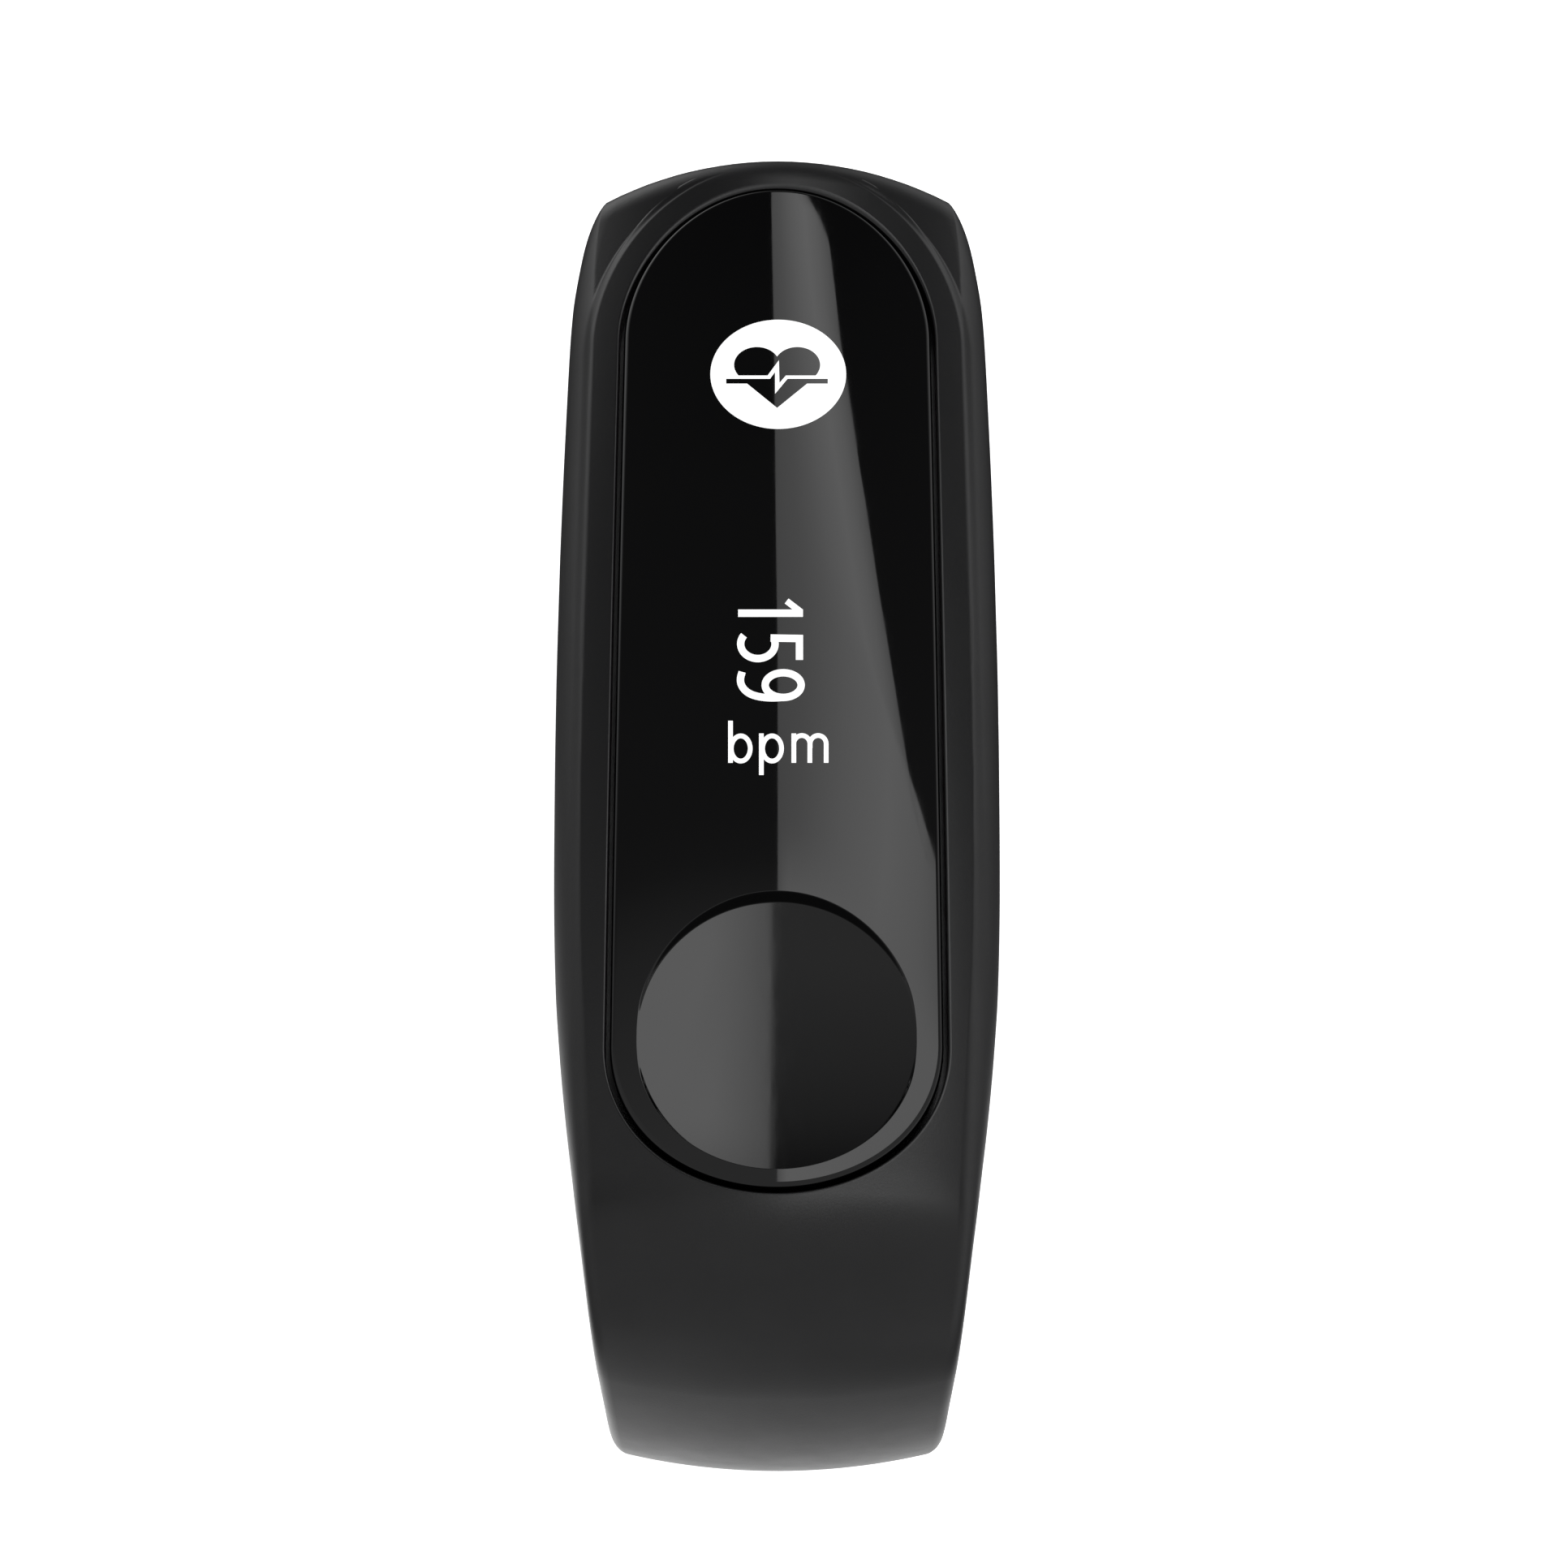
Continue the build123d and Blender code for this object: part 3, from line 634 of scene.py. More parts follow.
# +Y end
angC = np.where(rows_t[iC] >= T_PSIDE - 1e-6, HALF, ang[iC])
low = low_points(iC, CP1, R_P, angC)
g = wall_rows(iC, low, low_width(low[:, 0], low[:, 1], CP1, R_P, HALF, T_PSIDE))
frame_b.grid(g, out=(1, 0, 0))
# -Y strap's side
xe = w_r[iN]
ei = e_in(rows_t[iN])
pin = inner(xe, rows_t[iN], ei)
f = np.linspace(0, 1, 9)[None, :, None]
frame_b.grid(edge[iN][:, None] + (pin - edge[iN])[:, None] * f, out=(1, 0, 0))


def inner_rows(t, w, e):
    """Wrist side of the strap, rounded at the edge by e."""
    s = np.concatenate([np.linspace(0, 1, 7), 1 + np.sin(np.linspace(0, HALF, 7))[1:]])
    xg = np.where(s <= 1, (w - e)[:, None] * s, (w - e)[:, None] + e[:, None] * (s - 1))
    tg = np.repeat(t[:, None], xg.shape[1], 1)
    return inner(xg, tg, edge_drop(xg, w[:, None], np.maximum(e, 1e-3)[:, None], e[:, None], 2.0))


def centre_dir(t):
    """Outward direction at t."""
    kind, cy, cz, ang, rad = zone_of(t)
    return np.stack([0 * ang, np.where(kind == 4, 0, np.sin(ang)), np.where(kind == 4, -1, np.cos(ang))], -1)


g = inner_rows(rows_t[iN], w_r[iN], np.maximum(ei, 1e-3))
frame_b.grid(g, out=-centre_dir(rows_t[iN])[:, None])


def leaving(c, rad0, sgn, a_end, e_end):
    """Wrist side of a strap from the frame's underside to the angle a_end."""
    js = np.linspace(0, 1, 16)
    xs0 = np.concatenate([np.linspace(0, 1, 7), 1 + np.sin(np.linspace(0, HALF, 7))[1:]])
    g = np.zeros((len(js), len(xs0), 3))
    for j, f in enumerate(js):
        ee = e_end * smooth(np.array([f]))[0] + 1e-3
        w = 8.5
        for _ in range(5):
            xg = np.where(xs0 <= 1, (w - ee) * xs0, (w - ee) + ee * (xs0 - 1))
            r = rad0 - STRAP_T - sag(xg, R_IN) + edge_drop(xg, w, ee, ee, 2.0)
            a0 = np.arccos(np.clip((ZB - c[1]) / r, -1, 1))
            a = a0 + (a_end - a0) * f
            y = c[0] + sgn * r * np.sin(a)
            z = c[1] + r * np.cos(a)
            w = float(low_width(y[-1], z[-1], c, rad0, abs(a_end), -T_SHO if sgn < 0 else T_PSIDE))
        g[j] = np.stack([xg, y, c[1] + r * np.cos(a)], -1)
    return g


g = leaving(CP1, R_P, 1, HALF, float(e_in(np.array([T_PSIDE]))[0]))
frame_b.grid(g, out=(0, -1, 0))
PEND = g[0]
g = leaving(CN1, R_SHO, -1, A_SHO, float(e_in(np.array([-T_SHO]))[0]))
frame_b.grid(g, out=(0, 1, 0))
NEND = g[0]
# underside
y_a, y_b = NEND[0, 1], PEND[0, 1]
bx, by = ring_xy(0.5)
rb_y = 0.4 * smooth((by - CN1[0]) / 3.0) * smooth((CP1[0] + 0.5 - by) / 3.0)
ws = plan(by) - rb_y
f = np.linspace(0, 1, 5)
g = np.stack([bx[:, None] + (ws - bx)[:, None] * f, np.repeat(by[:, None], 5, 1), np.full((M, 5), ZB)], -1)
frame_b.grid(g, out=(0, 0, -1))
for y0, y1 in ((by[0], y_a), (by[-1], y_b)):
    yy = np.linspace(y0, y1, 7)
    s = np.linspace(0, 1, 9)
    rb = 0.4 * smooth((yy - CN1[0]) / 3.0) * smooth((CP1[0] + 0.5 - yy) / 3.0)
    xg = (plan(yy) - rb)[:, None] * s
    yg = np.repeat(yy[:, None], 9, 1)
    pe = NEND if y1 < 0 else PEND
    end = np.interp(xg[-1], pe[:, 0], pe[:, 1])
    yg = yg + (end - y1)[None, :] * (np.linspace(0, 1, 7) ** 2)[:, None]
    frame_b.grid(np.stack([xg, yg, np.full(xg.shape, ZB)], -1), out=(0, 0, -1))


# ================================================================== the free parts of the strap
E_STR = 0.62


def strap_w(t):
    return np.full(np.shape(t), STRAP_W)


def edge_out(t):
    """Edge size and depth of a strap's outside, as the frame's skin has at its seam, else E_STR."""
    f = smooth((np.abs(t) - (T_NSEAM if np.mean(t) < 0 else T_PSEAM)) / 6.0)
    return e_at(t) * (1 - f) + E_STR * f, d_at(t) * (1 - f) + E_STR * f


def section_row(x, t, rho, w):
    """Closed half section from the outside's middle round to the wrist side's middle. x, t, rho: K values from the middle to the edge."""
    eo, do = edge_out(t)
    nn = n_at(t)
    o = outer_edge(x, t, edge_drop(rho * w, w, eo, do, nn))
    i = inner(x, t, edge_drop(rho * w, w, 0.5, 0.5, 2.0))
    mid = [o[-1:] + (i[-1:] - o[-1:]) * f for f in (0.33, 0.66)]
    return np.concatenate([o] + mid + [i[::-1]], 0)


def outer_edge(x, t, dr):
    """Outer surface in the strap zones, with its edge drop given."""
    x, t, dr = np.broadcast_arrays(np.asarray(x, float), np.asarray(t, float), dr)
    kind, cy, cz, ang, rad = zone_of(t)
    base = sag(x, rc_at(t)) + dr
    Y = np.where(kind == 4, cy, cy + (rad - base) * np.sin(ang))
    Z = np.where(kind == 4, cz + base, cz + (rad - base) * np.cos(ang))
    return np.stack([x, Y, Z], -1)


XB = 2.9
SX = np.concatenate([np.linspace(0, XB, 6), np.linspace(XB, STRAP_W - E_STR, 8)[1:],
                     STRAP_W - E_STR + E_STR * np.sin(np.linspace(0, HALF, 8))[1:]])
RHO = SX / STRAP_W


def slot_point(dx, dt, hw, hs):
    """Where a ray (dx, dt) from the middle meets an oblong of half width hw and half straight length hs."""
    dx, dt = np.asarray(dx, float), np.asarray(dt, float)
    n = np.hypot(dx, dt)
    ux, ut = dx / n, dt / n
    k1 = hw / np.maximum(ux, 1e-9)
    b = np.abs(ut) * hs
    k2 = b + np.sqrt(np.maximum(b * b - hs * hs + hw * hw, 0))
    k = np.where(k1 * np.abs(ut) <= hs, k1, k2)
    return ux * k, ut * k


def strap_piece(name, sgn, t_a, t_b, holes, disc=None, tip=None):
    """A strap from |t| = t_a to t_b. holes: |t| of the oblong holes. disc: |t| of the clasp's seat. tip: length of the rounded end."""
    b = Builder()
    hb = 3.35
    cuts = [(h - hb, h + hb, h, "slot") for h in holes] + ([(disc - 5.3, disc + 5.3, disc, "disc")] if disc is not None else [])
    cuts.sort()
    tc = t_b - tip if tip else t_b
    rows = [t_a]
    for c0, c1, _, _ in cuts:
        n = max(1, int(math.ceil((c0 - rows[-1]) / 0.8)))
        if c0 - rows[-1] > 1e-6:
            rows += list(np.linspace(rows[-1], c0, n + 1)[1:])
        rows += list(np.linspace(c0, c1, 13)[1:])
    n = max(1, int(math.ceil((tc - rows[-1]) / 0.8)))
    if tc - rows[-1] > 1e-6:
        rows += list(np.linspace(rows[-1], tc, n + 1)[1:])
    rows = np.array(rows)
    K = len(SX)
    nx = {"slot": 5, "disc": 8}
    g = np.stack([section_row(SX, np.full(K, sgn * r), RHO, STRAP_W) for r in rows])
    skip = np.zeros((len(rows) - 1, g.shape[1] - 1), bool)
    for c0, c1, _, kd in cuts:
        m = (rows[:-1] > c0 - 1e-6) & (rows[1:] < c1 + 1e-6)
        skip[m, :nx[kd]] = True
        skip[m, -nx[kd]:] = True
    t_all = sgn * rows
    cd = centre_dir(t_all)
    mid = (g[:, :1] + g[:, -1:]) / 2
    b.grid(g, out=g - mid, skip=skip)
    for c0, c1, h, kd in cuts:
        inside = rows[(rows > c0 - 1e-6) & (rows < c1 + 1e-6)]
        xs = SX[:nx[kd] + 1]
        px = np.concatenate([xs, np.full(len(inside) - 2, xs[-1]), xs[::-1]])
        pt = np.concatenate([np.full(len(xs), inside[0]), inside[1:-1], np.full(len(xs), inside[-1])])
        dx, dt = px, pt - h
        cd_h = centre_dir(np.array([sgn * h]))[0]
        if kd == "slot":
            hx, ht = slot_point(dx, dt, HOLE_W / 2, (HOLE_L - HOLE_W) / 2)
            rr = 0.22
            ln = np.hypot(hx, ht)
            gx, gt = hx * (1 + rr / ln), ht * (1 + rr / ln)
            out, inn = [], []
            for f in (0, 0.35, 0.7, 1.0):
                x, t = dx + (gx - dx) * f, h + dt + (gt - dt) * f
                out.append(outer_edge(x, sgn * t, 0.0 * x))
                inn.append(inner(x, sgn * t, 0.0 * x))
            for a in round_steps(4)[1:]:
                k = 1 + rr / ln * (1 - math.sin(a))
                x, t = hx * k, h + ht * k
                out.append(outer_edge(x, sgn * t, np.full(x.shape, rr * (1 - math.cos(a)))))
                inn.append(inner(x, sgn * t, rr * (1 - math.cos(a))))
            mids = [out[-1] + (inn[-1] - out[-1]) * f for f in (0.25, 0.5, 0.75)]
            grid = np.stack(out + mids + inn[::-1], 1)
        else:
            ln = np.hypot(dx, dt)
            ux, ut = dx / ln, dt / ln
            out, inn = [], []
            R0, rr = DISC_R0 + 0.1, 0.18
            for f in (0, 0.5, 1.0):
                x, t = dx + (ux * (R0 + rr) - dx) * f, h + dt + (ut * (R0 + rr) - dt) * f
                out.append(outer_edge(x, sgn * t, 0.0 * x))
            for a in round_steps(3)[1:]:
                k = R0 + rr * (1 - math.sin(a))
                out.append(outer_edge(ux * k, sgn * (h + ut * k), np.full(ux.shape, rr * (1 - math.cos(a)))))
            p = out[-1].copy()
            for z in (0.9, 1.25):
                q = p.copy()
                q[:, 2] = z
                out.append(q)
            for k in (3.4, 2.3, 1.45):
                q = outer_edge(ux * k, sgn * (h + ut * k), np.zeros(ux.shape))
                q[:, 2] = 1.25
                out.append(q)
            for f in (0, 0.5, 1.0):
                k = 1.6 + (ln - 1.6) * (1 - f)
                inn.append(inner(ux * k, sgn * (h + ut * k), np.zeros(ux.shape)))
            inn.append(inner(ux * 1.45, sgn * (h + ut * 1.45), np.full(ux.shape, 0.12)))
            grid = np.stack(out + inn[::-1], 1)
        # the grid runs outside -> hole -> wrist side; its first column faces outwards
        gn = grid_normals(grid, mirror=True)
        if np.mean(gn[:, 0] @ cd_h) < 0:
            gn = -gn
        b.grid(grid, n=gn)
    if tip:
        g = []
        for a in np.linspace(0, HALF, 30):
            x, t = SX * math.cos(a), tc + RHO * tip * math.sin(a)
            if a > HALF - 1e-9:
                x = x * 0
            g.append(section_row(x, sgn * t, RHO, STRAP_W))
        g = np.stack(g)
        mid = section_row(SX * 0, sgn * (tc + SX * 0), RHO * 0, STRAP_W)
        mid = (mid[:1] + mid[-1:]) / 2
        b.grid(g, out=g - mid, mirror=False)
    return b


DISC_R0 = 4.5

# ================================================================== the lens
L_A, L_T, L_B = WIN_W + LENS, CAP_T + LENS, CAP_B + LENS


def lens_top(x, y):
    """Height of the lens's outside: two-way crown with the round touch hollow."""
    z1 = ZC0 + np.sqrt((RL - sag(x, RC)) ** 2 - y ** 2)
    depth = DIM_R ** 2 * (1.0 / DIM_RX + 1.0 / RC) / 2 - DIM_END * np.minimum(((y - DIM_Y) / DIM_R) ** 2, 1.2)
    z2 = ZC0 + np.sqrt((RL - depth + sag(np.clip(x, -12, 12), DIM_RX)) ** 2 - y ** 2)
    rho = np.hypot(x, y - DIM_Y)
    f = 1 - smooth((rho - (DIM_R - 0.14)) / 0.18)
    return z1 + np.minimum(z2 - z1, 0) * f


def lens_normal(x, y, eps=0.01):
    zx = (lens_top(x + eps, y) - lens_top(x - eps, y)) / (2 * eps)
    zy = (lens_top(x, y + eps) - lens_top(x, y - eps)) / (2 * eps)
    n = np.stack([-zx, -zy, np.ones(zx.shape)], -1)
    return n / np.linalg.norm(n, axis=-1, keepdims=True)


def lens_mesh(mat):
    b = Builder()
    yb, yt = -(WIN_L - CAP_B), WIN_L - CAP_T
    n_c = 90
    y_mid = np.concatenate([np.arange(yb, -11.5, 0.13), np.linspace(-11.5, yt, 120)])[1:-1]
    a_ = np.concatenate([np.linspace(HALF, 0, n_c + 1), np.zeros(len(y_mid)), np.linspace(0, HALF, n_c + 1)])
    pt = np.concatenate([np.zeros(n_c + 1), np.ones(len(y_mid)), np.full(n_c + 1, 2)])
    ym = np.concatenate([np.zeros(n_c + 1), y_mid, np.zeros(n_c + 1)])

    def xy(rho, inset=0.0):
        sx, sb, st = L_A - inset, L_B - inset, L_T - inset
        x = np.where(pt == 1, rho * sx, rho * sx * np.cos(a_))
        x = np.where((pt != 1) & (a_ > HALF - 1e-9), 0.0, x)
        y = np.where(pt == 0, yb - rho * sb * np.sin(a_), np.where(pt == 2, yt + rho * st * np.sin(a_), ym))
        return x, y

    r_e = 0.26
    rho = np.linspace(0, 1, 64)
    P = [xy(r, r_e) for r in rho]
    X, Y = np.stack([p[0] for p in P], 1), np.stack([p[1] for p in P], 1)
    k0 = int(np.flatnonzero((pt == 1) & (np.abs(ym + 11.5) < 1e-6))[0])
    b.grid(np.stack([X[k0:], Y[k0:], lens_top(X[k0:], Y[k0:])], -1), lens_normal(X[k0:], Y[k0:]))
    # round the touch hollow the mesh runs in rings, so that its edge is a clean circle
    bx = np.concatenate([X[k0], X[:k0, -1][::-1]])
    by = np.concatenate([Y[k0], Y[:k0, -1][::-1]])
    th = np.arctan2(by - DIM_Y, bx)
    rings = np.concatenate([np.linspace(0, 6.3, 34)[:-1], np.linspace(6.3, 6.43, 4)[:-1], np.linspace(6.43, 6.67, 17)])
    X = rings[None] * np.cos(th)[:, None]
    Y = DIM_Y + rings[None] * np.sin(th)[:, None]
    X[np.abs(bx) < 1e-9] = 0.0
    b.grid(np.stack([X, Y, lens_top(X, Y)], -1), lens_normal(X, Y))
    g_ = np.linspace(0, 1, 22)[None]
    X = X[:, -1:] + (bx[:, None] - X[:, -1:]) * g_
    Y = Y[:, -1:] + (by[:, None] - Y[:, -1:]) * g_
    b.grid(np.stack([X, Y, lens_top(X, Y)], -1), lens_normal(X, Y))
    cols = []
    x0, y0 = xy(1.0, r_e)
    for a in round_steps(6):
        x, y = xy(1.0, r_e * (1 - math.sin(a)))
        cols.append(np.stack([x, y, lens_top(x, y) - r_e * (1 - math.cos(a))], -1))
    x, y = xy(1.0, 0.0)
    zt, zb = cols[-1][:, 2], ZC0 + np.sqrt((RL - LENS_T) ** 2 - y ** 2)
    for f in (0.33, 0.66, 1.0):
        cols.append(np.stack([x, y, zt + (zb - zt) * f], -1))
    g = np.stack(cols, 1)
    out = np.stack([x, (y - np.clip(y, yb, yt)), 0 * x + 0.3], -1)
    b.grid(g, out=out[:, None], mirror=True)
    P = [xy(r, 0.0) for r in np.linspace(0, 1, 9)]
    X, Y = np.stack([p[0] for p in P], 1), np.stack([p[1] for p in P], 1)
    Z = ZC0 + np.sqrt((RL - LENS_T) ** 2 - Y ** 2)
    b.grid(np.stack([X, Y, Z], -1), out=(0, 0, -1))
    return b.make("lens", mat, mirror=True)


# ================================================================== display graphics: thin pieces that follow the lens
def px(x, y):
    """Point of the lens's outside seen at a place in a 1932-wide front view, as x, y in millimetres."""
    X, Y, Z = (x - 957.5) / 26.07, 0.0, ZT
    for _ in range(12):
        Z = float(lens_top(np.array([X]), np.array([Y]))[0])
        zr = ZT + 164.8 - Z
        k = (966.0 - y) / 4739.0
        # up / d = k
        a_, b_ = 0.90631, 0.42262
        yr = zr * (b_ + k * a_) / (a_ - k * b_)
        Y = yr - 84.5
        d = b_ * yr + a_ * zr
        X = (x - 966.0) * d / 4739.0 + 0.34
    return X, Y


def ribbon(path, width, closed=False):
    """Strip of constant width along a path: list of quads' corner grid (n x 2 x 2)."""
    p = np.array(path, float)
    if closed:
        d = np.roll(p, -1, 0) - np.roll(p, 1, 0)
    else:
        d = np.gradient(p, axis=0)
    d /= np.maximum(np.linalg.norm(d, axis=1, keepdims=True), 1e-9)
    nrm = np.stack([-d[:, 1], d[:, 0]], 1)
    seg = np.roll(p, -1, 0) - p
    g = np.stack([p - nrm * width / 2, p, p + nrm * width / 2], 1)
    return np.concatenate([g, g[:1]], 0) if closed else g


def mitred(path, width):
    """Strip with sharp corners."""
    p = np.array(path, float)
    n = len(p)
    rows = []
    for i in range(n):
        a = p[i] - p[i - 1] if i else p[1] - p[0]
        c = p[i + 1] - p[i] if i < n - 1 else p[-1] - p[-2]
        a, c = a / np.linalg.norm(a), c / np.linalg.norm(c)
        na, nc = np.array([-a[1], a[0]]), np.array([-c[1], c[0]])
        m = na + nc
        m /= max(np.linalg.norm(m), 1e-6)
        k = width / 2 / max(m @ na, 0.35)
        rows.append([p[i] - m * k, p[i], p[i] + m * k])
    return np.array(rows)


def fine(g, step):
    """Subdivides a strip along its length."""
    rows = [g[0]]
    for a, c in zip(g[:-1], g[1:]):
        n = max(1, int(math.ceil(np.linalg.norm(c[1] - a[1]) / step)))
        rows += [a + (c - a) * k / n for k in range(1, n + 1)]
    return np.array(rows)


def lay(name, strips, lift, mat, polys=()):
    """Pieces given in view units (x right, y down, 1932 wide) laid on the lens, lift mm above it."""
    b = Builder()
    for g in list(strips) + list(polys):
        q = np.zeros(g.shape[:2] + (3,))
        for i in range(g.shape[0]):
            for j in range(g.shape[1]):
                X, Y = px(*g[i, j])
                q[i, j, :2] = X, Y
        n = lens_normal(q[..., 0], q[..., 1])
        q[..., 2] = lens_top(q[..., 0], q[..., 1])
        q = q + n * lift
        b.grid(q, n)
        # a thin rim down to the glass
        for col in (0, -1):
            s = np.stack([q[:, col], q[:, col] - n[:, col] * lift * 1.2], 1)
            b.grid(s, out=(q[:, col] - q[:, q.shape[1] // 2])[:, None] + 1e-6)
    return b.make(name, mat)


def arc_pts(cx, cy, rx_, ry_, a0, a1, n=20):
    a = np.radians(np.linspace(a0, a1, n))
    return [(cx + rx_ * math.cos(v), cy + ry_ * math.sin(v)) for v in a]


def curve(pts, n=8):
    """Smooth curve through points."""
    p = np.array([pts[0]] + list(pts) + [pts[-1]], float)
    out = []
    for k in range(1, len(p) - 2):
        for t in np.linspace(0, 1, n, endpoint=False):
            out.append(0.5 * (2 * p[k] + (p[k + 1] - p[k - 1]) * t + (2 * p[k - 1] - 5 * p[k] + 4 * p[k + 1] - p[k + 2]) * t * t
                              + (3 * p[k] - p[k - 1] - 3 * p[k + 1] + p[k + 2]) * t ** 3))
    return out + [p[-1]]


def digit_strips():
    """The three figures, lying on their side, tops towards +x."""
    w = 8.9
    out = []
    # 1: its stem runs across, with a short flag at the top
    out.append(fine(mitred([(909.5, 755.6), (989.3, 755.6)], w), 8))
    out.append(fine(mitred([(969.3, 740.6), (987.2, 754.4)], w * 0.85), 6))
    # 5: top bar, neck, bowl
    out.append(fine(mitred([(985, 813.2), (985, 786.8), (949.5, 786.2)], w), 6))
    out.append(ribbon(arc_pts(933.8, 793.5, 21.2, 18.0, -18, 216, 48), w))
    # 9: ring and tail
    out.append(ribbon(arc_pts(965, 844.2, 22.2, 15.2, 0, 360, 49)[:-1], w, closed=True))
    out.append(ribbon(curve([(964, 859.4), (950, 859.9), (936, 858.6), (925, 855.3), (917.3, 849.8), (913.2, 843), (912.4, 836), (914.4, 828)]), w))
    return out


def letter_strips():
    w = 5.7
    out = []

    def stem(x, y0, y1):
        out.append(fine(mitred([(x, y0), (x, y1)], w), 8))

    def bowl(cx):
        out.append(ribbon(arc_pts(cx, 922.3, 11.7, 15.5, 0, 360, 45)[:-1], w, closed=True))

    stem(900.1, 888.2, 940)
    bowl(912.7)
    stem(938.1, 903.8, 955)
    bowl(951.3)
    stem(978.1, 903.8, 940)
    for x in (978.1, 998.2):
        arch = [(x, 922)] + arc_pts(x + 9.85, 916.5, 9.9, 10.2, 180, 360, 18) + [(x + 19.7, 940)]
        out.append(fine(ribbon(arch, w), 8))
    return out


HEART_C = (957.5, 469.7)


def heart_edge():
    """Outline of the heart with the bar across it, in view units, clockwise from the bar's left end."""
    def lobe(cx, a0, a1, n=40):
        a = np.radians(np.linspace(a0, a1, n))
        return [(cx + 28.2 * math.cos(v), 449.6 - 22.1 * math.sin(v)) for v in a]

    left_a = math.degrees(math.pi + math.asin(13.2 / 22.1))
    left_l = lobe(932.6, left_a, 28.0)
    right_l = lobe(982.4, 152.0, 180.0 - left_a)
    return ([(894.7, 472.8), (894.7, 466.7), (left_l[0][0], 466.7)] + left_l + [(957.5, 439.2)] + right_l
            + [(right_l[-1][0], 466.7), (1020.0, 466.7), (1020.0, 472.8), (994.5, 472.8), (957.5, 502.8), (920.5, 472.8), (894.7, 472.8)])


def icon_polys():
    """White plate with the heart left out, as a ring of quads."""
    hp = heart_edge()
    pts = []
    for a, c in zip(hp[:-1], hp[1:]):
        n = max(1, int(math.ceil(math.dist(a, c) / 2.5)))
        pts += [(a[0] + (c[0] - a[0]) * k / n, a[1] + (c[1] - a[1]) * k / n) for k in range(n)]
    pts.append(hp[-1])
    rows = []
    for x, y in pts:
        d = np.array([x - HEART_C[0], y - HEART_C[1]])
        d /= np.linalg.norm(d)
        # where the ray meets the plate's oval
        o = np.array([HEART_C[0] - 958.9, HEART_C[1] - 461.3]) / (83.6, 67.2)
        e = d / (83.6, 67.2)
        q_a, q_b, q_c = e @ e, 2 * (o @ e), o @ o - 1
        k = (-q_b + math.sqrt(q_b * q_b - 4 * q_a * q_c)) / (2 * q_a)
        inner_p, outer_p = np.array([x, y]), np.array(HEART_C) + k * d
        rows.append([inner_p + (outer_p - inner_p) * f for f in (0, 0.25, 0.5, 0.75, 1.0)])
    return [np.array(rows)]


def ecg_strips():
    """White line with one spike across the heart, joined to the plate at both sides."""
    x0 = 932.6 - 28.2 * math.sqrt(1 - (13.2 / 22.1) ** 2)
    x1 = 982.4 + 28.2 * math.sqrt(1 - (13.2 / 22.1) ** 2)
    up = [(x0, 462.8), (945.8, 462.8), (959.7, 444.0), (960.4, 471.9), (968.4, 462.8), (x1, 462.8)]
    lo = [(x0, 466.7), (948.8, 466.7), (955.0, 458.3), (955.0, 485.2), (970.4, 466.7), (x1, 466.7)]
    g = np.array([[a, ((a[0] + c[0]) / 2, (a[1] + c[1]) / 2), c] for a, c in zip(up, lo)])
    return [fine(g, 3.0)]


# ================================================================== materials
def node_mat(name, slot=None):
    m = bpy.data.materials.new(name)
    m.use_nodes = True
    nt = m.node_tree
    nt.nodes.clear()
    out = nt.nodes.new("ShaderNodeOutputMaterial")
    b = nt.nodes.new("ShaderNodeBsdfPrincipled")
    nt.links.new(b.outputs[0], out.inputs[0])
    return m, nt, b


def noise(nt, scale, detail=3.0, rough=0.55, vec=None, stretch=None):
    """Noise in object space; scale in features per millimetre."""
    tc = nt.nodes.new("ShaderNodeTexCoord")
    mp = nt.nodes.new("ShaderNodeMapping")
    nt.links.new(tc.outputs["Object"], mp.inputs[0])
    if stretch:
        mp.inputs["Scale"].default_value = stretch
    n = nt.nodes.new("ShaderNodeTexNoise")
    n.inputs["Scale"].default_value = scale / MM
    n.inputs["Detail"].default_value = detail
    n.inputs["Roughness"].default_value = rough
    nt.links.new(mp.outputs[0], n.inputs["Vector"])
    return n


def ramp(nt, src, lo, hi, a, b):
    r = nt.nodes.new("ShaderNodeMapRange")
    r.inputs["From Min"].default_value, r.inputs["From Max"].default_value = lo, hi
    r.inputs["To Min"].default_value, r.inputs["To Max"].default_value = a, b
    nt.links.new(src, r.inputs["Value"])
    return r.outputs[0]


def mix_col(nt, fac, a, b):
    m = nt.nodes.new("ShaderNodeMix")
    m.data_type = "RGBA"
    nt.links.new(fac, m.inputs[0])
    m.inputs[6].default_value, m.inputs[7].default_value = (*a, 1), (*b, 1)
    return m.outputs[2]


def bump(nt, b, src, dist, strength=1.0):
    n = nt.nodes.new("ShaderNodeBump")
    n.inputs["Distance"].default_value = dist * MM
    n.inputs["Strength"].default_value = strength
    nt.links.new(src, n.inputs["Height"])
    nt.links.new(n.outputs[0], b.inputs["Normal"])
    return n


